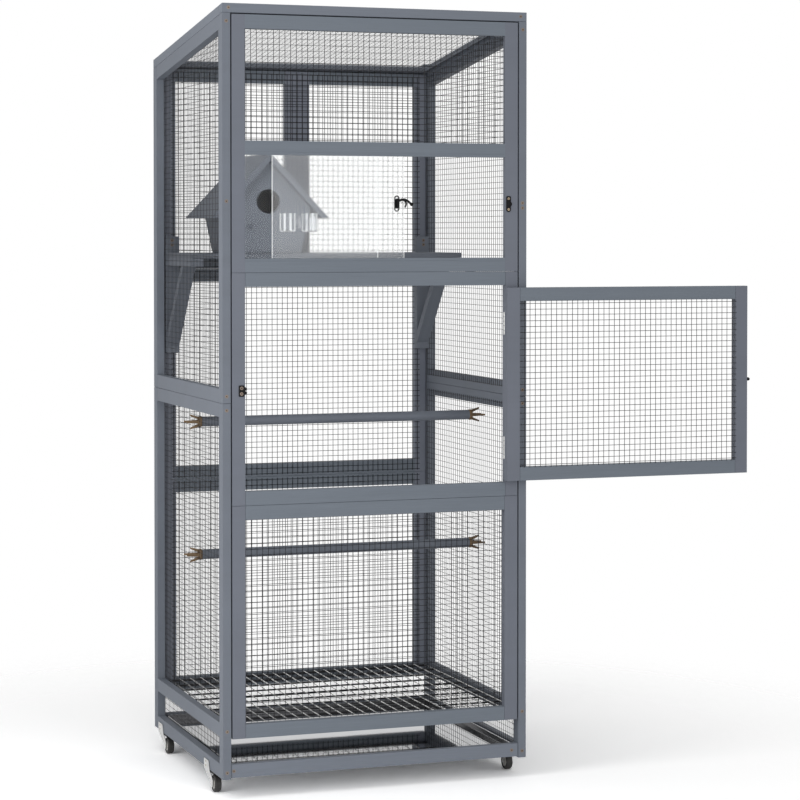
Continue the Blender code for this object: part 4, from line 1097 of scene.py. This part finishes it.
def perches():
    p = perch
    radius, wide, long, spread, y = p["radius"], p["crown"], p["crownLong"], p["spread"], p["y"]
    length = shelf["right"] - shelf["left"] - 2 * long
    rod = [(0, 0), (radius, 0), (radius, length), (0, length)]
    crown = [(0, 0), (wide - 1.5, 0), (wide - 0.4, 1.2), (wide, long - 2.2)]
    crown += [(radius + 0.6, long - 0.3), (radius + 0.2, long), (0, long)]
    corners = ((-1, -1), (1, -1), (1, 1), (-1, 1))
    for label, z in zip(("lower", "upper"), p["heights"]):
        stock = newStock()
        addTurned(stock, rod, spot(shelf["left"] + long, y, z), upX, 40)
        for x, out, tip in ((shelf["left"], -1, p["tip"]), (shelf["right"], 1, cage["width"] - p["tip"])):
            addTurned(stock, crown, spot(x, y, z), Vector((-out, 0, 0)), 32, 1, along=upX)
            for u, v in ((1, 0), (-1, 0), (0, 1), (0, -1)):
                end, flare = (tip, 5.0) if u else (tip + out * -11.0, 7.6)
                root = Vector((x - out * 2.0, y + u * spread, z + v * spread))
                reach = Vector((end, y + u * (spread + flare), z + v * (spread + flare)))
                work = bmesh.new()
                verts = []
                for at, size in ((root, 1.5), (root.lerp(reach, 0.55), 1.15), (reach, 0.8)):
                    half = p["prong"] / 2 * size
                    ring = [spot(at.x, at.y + a * half, at.z + b * half) for a, b in corners]
                    verts += [work.verts.new(point) for point in ring]
                for face in skinFaces(3, 4):
                    work.faces.new([verts[i] for i in face])
                addSolid(stock, work, upX, 0.6, 1)
        finishWood(f"{label}Perch", stock, [stain, rawWood])


perches()
report("perches hung")

# Grate, tray and its runners

tray = {
    "left": 22.8,
    "right": 672.2,
    "front": 16.8,
    "back": 593.2,
    "foot": 13.8,
    "wall": 14.0,
    "sheet": 1.0,
    "roll": 1.4,
}

grate = {
    "z": 112.0,
    "wire": 2.4,
    "bar": 4.0,
    "pitch": 25.5,
    "bars": 9,
}


def floorGrate():
    z, bar, pitch = grate["z"], grate["bar"], grate["pitch"]
    left, right, near, far = 21.3, 673.7, 21.3, 588.7
    stock = newStock()
    step = (far - near - bar * 4) / grate["bars"]
    rows = [min(near + bar * 2 + i * step, far - bar) for i in range(grate["bars"] + 1)]
    for y in rows + [near + bar / 2 + 0.2, far - bar / 2 - 0.2]:
        addTube(stock, [spot(left + 0.4, y, z - 2.3), spot(right - 0.4, y, z - 2.3)], bar / 2, 12, 1)
    count = int((right - left - 6) / pitch)
    for i in range(count + 1):
        x = (left + right - count * pitch) / 2 + i * pitch
        points = []
        for k in range(13):
            y = near + 0.4 + (far - near - 0.8) * k / 12
            points.append(spot(x + rng.uniform(-0.25, 0.25), y, z + 0.8))
        addTube(stock, points, grate["wire"] / 2, 10)
    finishPiece("floorGrate", stock, [silver, wireBlack], "bright_steel")


def trayAndRunners():
    for side, x in (("left", 18.3), ("right", 658.7)):
        stock = newStock()
        addBar(stock, (x, 16.8, 3), (x + 18, 593.5, 13.5), upY)
        finishWood(f"{side}TrayRunner", stock)
    stock = newStock()
    addBar(stock, (inLeft, 1.5, 3), (inRight, 16.5, 32), upX)
    finishWood("trayFront", stock, [trayStain], "tray")
    t = tray
    stock = newStock()
    sheet, wall, rim = t["sheet"], t["wall"], t["roll"] + t["sheet"]
    # Section from the outside foot, over the rolled rim, down to the floor
    section = [(0.6, 0), (0, 0.6), (0, wall - 0.5), (0.3, wall), (rim, wall), (rim + 0.3, wall - 0.5)]
    section += [(rim, wall - 1.2), (sheet, wall - 1.6), (sheet, 2.4), (sheet + 0.4, sheet + 0.5)]
    section += [(sheet + 1.6, sheet)]
    verts = []
    for inset, height in section:
        soft = max(0.3, 4.0 - inset)
        left, right = t["left"] + inset + soft, t["right"] - inset - soft
        near, far = t["front"] + inset + soft, t["back"] - inset - soft
        for i, middle in enumerate(((right, far), (left, far), (left, near), (right, near))):
            bow = arc(*middle, soft, [90 * i + step * 22.5 for step in range(5)])
            verts += [spot(x, y, t["foot"] + height) for x, y in bow]
    addMesh(stock, verts, skinFaces(len(section), 20), upX)
    stock.faces.ensure_lookup_table()
    # Upright faces take the darker copy of the steel: painted shade on the pan's walls.
    for face in stock.faces:
        face.material_index = 1 if abs(face.normal.z) < 0.5 else 0
    finishPiece("trayPan", stock, [trayMetal, trayWall], "bright_steel", "tray")


floorGrate()
trayAndRunners()
report("grate and tray laid in")

# Casters: a screwed plate outside each bottom rail, and a wheel under the rail

caster = {
    "rows": (90.0, 505.0),
    "wheel": 18.5,
    "wide": 16.0,
    "axle": -25.5,
    "plate": 1.5,
    "gap": 1.2,
    "rise": 19.0,
    "trail": 44.0,  # from the axle back to the middle of the plate
    "long": 38.0,
    "hub": 9.0,
    "eye": 7.5,
}


def casterArm(name, y, side, face):
    c = caster
    stock = newStock()
    near, far = y + c["trail"] - c["long"] / 2, y + c["trail"] + c["long"] / 2
    rise, axle = c["rise"], c["axle"]
    ring = arc(y, axle, c["eye"], range(165, 361, 15))
    ring += [(y + 20, -20.5), (y + 43, -10.5), (far - 2, -3.0), (far, -1.5), (far, rise - 2), (far - 2, rise)]
    ring += [(near + 2, rise), (near, rise - 2), (near - 8, -1.5), (y + 1, -8.5), (y - 7, -16.5)]
    inner = face - side * 0.3
    addBoard(stock, ring, c["plate"], lambda u, v, d: (inner - side * d, u, v), upZ, 0.3)
    for z in (5.0, 14.0):
        at = spot(inner - side * c["plate"], (near + far) / 2 + 3, z)
        screwHead(stock, at, Vector((-side, 0, 0)), 2.6, 1, 0.28)
    # A black block fills the space under the rail above the wheel: painted shade.
    addBar(stock, (face + side * 1.3, y - 7, -5.6), (face + side * 16.8, y + 46, -0.7), upY, 0.8, slot=3)
    span = c["wide"] + 2 * c["gap"] + c["plate"]
    pin = [(0, 0), (2.45, 0), (2.45, span), (0, span)]
    cap = [(0, 0), (4.4, 0), (4.4, 0.6), (3.4, 1.1), (0, 1.2)]
    for rod, x in ((pin, -0.3 - c["plate"] * 0.5), (cap, c["wide"] + 2 * c["gap"] - 0.2)):
        addTurned(stock, rod, spot(face + side * x, y, axle), Vector((side, 0, 0)), 20)
    finishPiece(f"{name}CasterArm", stock, [zinc, brass, ironBlackAndShade, ironBlackAndShade], "zinc")


def casterWheel(name, y, side, face):
    stock = newStock()
    half, r, hub = caster["wide"] / 2, caster["wheel"], caster["hub"]
    tyre = [(hub + 2.6, half - 1.6), (r - 4.2, half - 1.6), (r - 3.0, half - 0.2), (r - 1.6, half - 0.6)]
    tyre += [(r - 0.5, half - 2.0), (r, half - 3.6), (r, 1.2), (r - 0.5, 0.8)]
    disc = [(2.8, half), (5.2, half), (5.6, half - 0.4), (hub - 0.8, half - 0.5), (hub, half - 0.9)]
    disc += [(hub + 0.4, half - 1.5), (hub + 2.6, half - 1.6)]
    back = [(a, -b) for a, b in disc[::-1]]
    middle = spot(face + side * (caster["gap"] + half), y, caster["axle"])
    addTurned(stock, tyre + [(a, -b) for a, b in tyre[::-1]], middle, upX, 48)
    for part in (disc, back, [back[-1], disc[0]]):
        addTurned(stock, part, middle, upX, 48, 1)
    bmesh.ops.remove_doubles(stock, verts=stock.verts, dist=1e-6)
    finishPiece(f"{name}Wheel", stock, [rubber, hubPlastic], "black_rubber", nodeOf(f"{name}Wheel"))


for end, row in zip(("front", "back"), caster["rows"]):
    for label, side, face in (("Left", 1, 0.0), ("Right", -1, cage["width"])):
        casterArm(end + label, row, side, face)
        casterWheel(end + label, row, side, face)
report("casters mounted")

# Floor, light and camera

stageLook = {
    "floorRadius": 2.6,
    "fadeFrom": 0.6,
    "fadeTo": 1.7,
    "floorTone": 0.88,
    "floorWhite": 1.75,
    "ambient": 0.375,
    "leftBias": 0.25,
    "lowest": 0.15,
}


def makeFloor():
    look = stageLook
    work = bmesh.new()
    bmesh.ops.create_circle(work, cap_ends=True, segments=96, radius=look["floorRadius"])
    mesh = bpy.data.meshes.new("paleFloor")
    work.to_mesh(mesh)
    work.free()
    floor = bpy.data.objects.new("paleFloor", mesh)
    floor.location = spot(330, 280, cage["floor"])
    bpy.context.scene.collection.objects.link(floor)
    tone = look["floorTone"]
    mat, tree, shader = newMaterial("paleFloor", (tone,) * 3, 0.8)
    place = addNode(tree, "TexCoord").outputs["Object"]
    reach = addNode(tree, "VectorMath", {0: place}, operation="LENGTH").outputs["Value"]
    edge = {"From Min": look["fadeFrom"], "From Max": look["fadeTo"], "Value": reach}
    fade = addNode(tree, "MapRange", edge, interpolation_type="SMOOTHSTEP").outputs["Result"]
    grain = addNoise(tree, place, 6.0, 4.0)
    tones = addRamp(tree, grain, [(0.35, (tone * 0.985,) * 3), (0.65, (tone,) * 3)])
    tree.links.new(tones, shader.inputs["Base Color"])
    # Seen directly or mirrored, the floor is a brighter white, so that only its shadows show
    bright = addNode(tree, "BsdfDiffuse", {"Color": (look["floorWhite"],) * 3 + (1,)}).outputs["BSDF"]
    seen = rayIs(tree, "Is Camera Ray", "Is Glossy Ray")
    near = mixShaders(tree, seen, shader.outputs["BSDF"], bright)
    clear = addNode(tree, "BsdfTransparent").outputs["BSDF"]
    tree.links.new(mixShaders(tree, fade, near, clear), tree.nodes["Material Output"].inputs["Surface"])
    mesh.materials.append(mat)


def makeWorld():
    world = bpy.data.worlds.new("studio")
    world.use_nodes = True
    tree = world.node_tree
    tree.nodes.clear()
    way = addNode(tree, "TexCoord").outputs["Generated"]
    lean = addNode(tree, "VectorMath", {0: way, 1: (-0.62, -0.62, 0.48)}, operation="DOT_PRODUCT")
    light = {0: lean.outputs["Value"], 1: stageLook["leftBias"], 2: stageLook["ambient"]}
    level = addNode(tree, "Math", light, operation="MULTIPLY_ADD").outputs["Value"]
    least = addNode(tree, "Math", {0: level, 1: stageLook["lowest"]}, operation="MAXIMUM").outputs["Value"]
    light, white = [
        addNode(tree, "Background", {"Color": (1.0, 1.0, 1.0, 1), "Strength": strength}).outputs["Background"]
        for strength in (least, 1.0)
    ]
    seen = rayIs(tree, "Is Camera Ray", "Is Transmission Ray", "Is Glossy Ray")
    addNode(tree, "OutputWorld", {"Surface": mixShaders(tree, seen, light, white)})
    bpy.context.scene.world = world


def areaLight(name, at, target, size, power):
    data = bpy.data.lights.new(name, "AREA")
    data.shape = "RECTANGLE"
    data.size, data.size_y = size
    data.energy = power
    lamp = bpy.data.objects.new(name, data)
    lamp.location = spot(*at)
    lamp.rotation_euler = (spot(*target) - lamp.location).to_track_quat("-Z", "Y").to_euler()
    lamp.visible_camera = False
    bpy.context.scene.collection.objects.link(lamp)


camera = {
    "place": (-1363.9, -4985.5, 1159.9),
    "turn": 19.469,  # to the right of straight on
    "pitch": 1.3,  # downwards
    "lens": 109.65,
    "shift": -0.1374,
}


def makeCamera():
    data = bpy.data.cameras.new("photoView")
    data.sensor_width = 36.0
    data.lens = camera["lens"]
    data.shift_y = camera["shift"]
    data.clip_end = 50.0
    eye = bpy.data.objects.new("photoView", data)
    eye.location = spot(*camera["place"])
    eye.rotation_euler = (math.radians(90 - camera["pitch"]), 0, math.radians(-camera["turn"]))
    bpy.context.scene.collection.objects.link(eye)
    bpy.context.scene.camera = eye


makeFloor()
makeWorld()
areaLight("leftKey", (-1050, -420, 900), (100, 150, 850), (0.8, 3.0), 15)
areaLight("frontFill", (600, -3300, 1300), (350, 300, 850), (2.2, 2.6), 34)
makeCamera()
bpy.context.scene.view_settings.view_transform = "Standard"
report("floor, light and camera set")
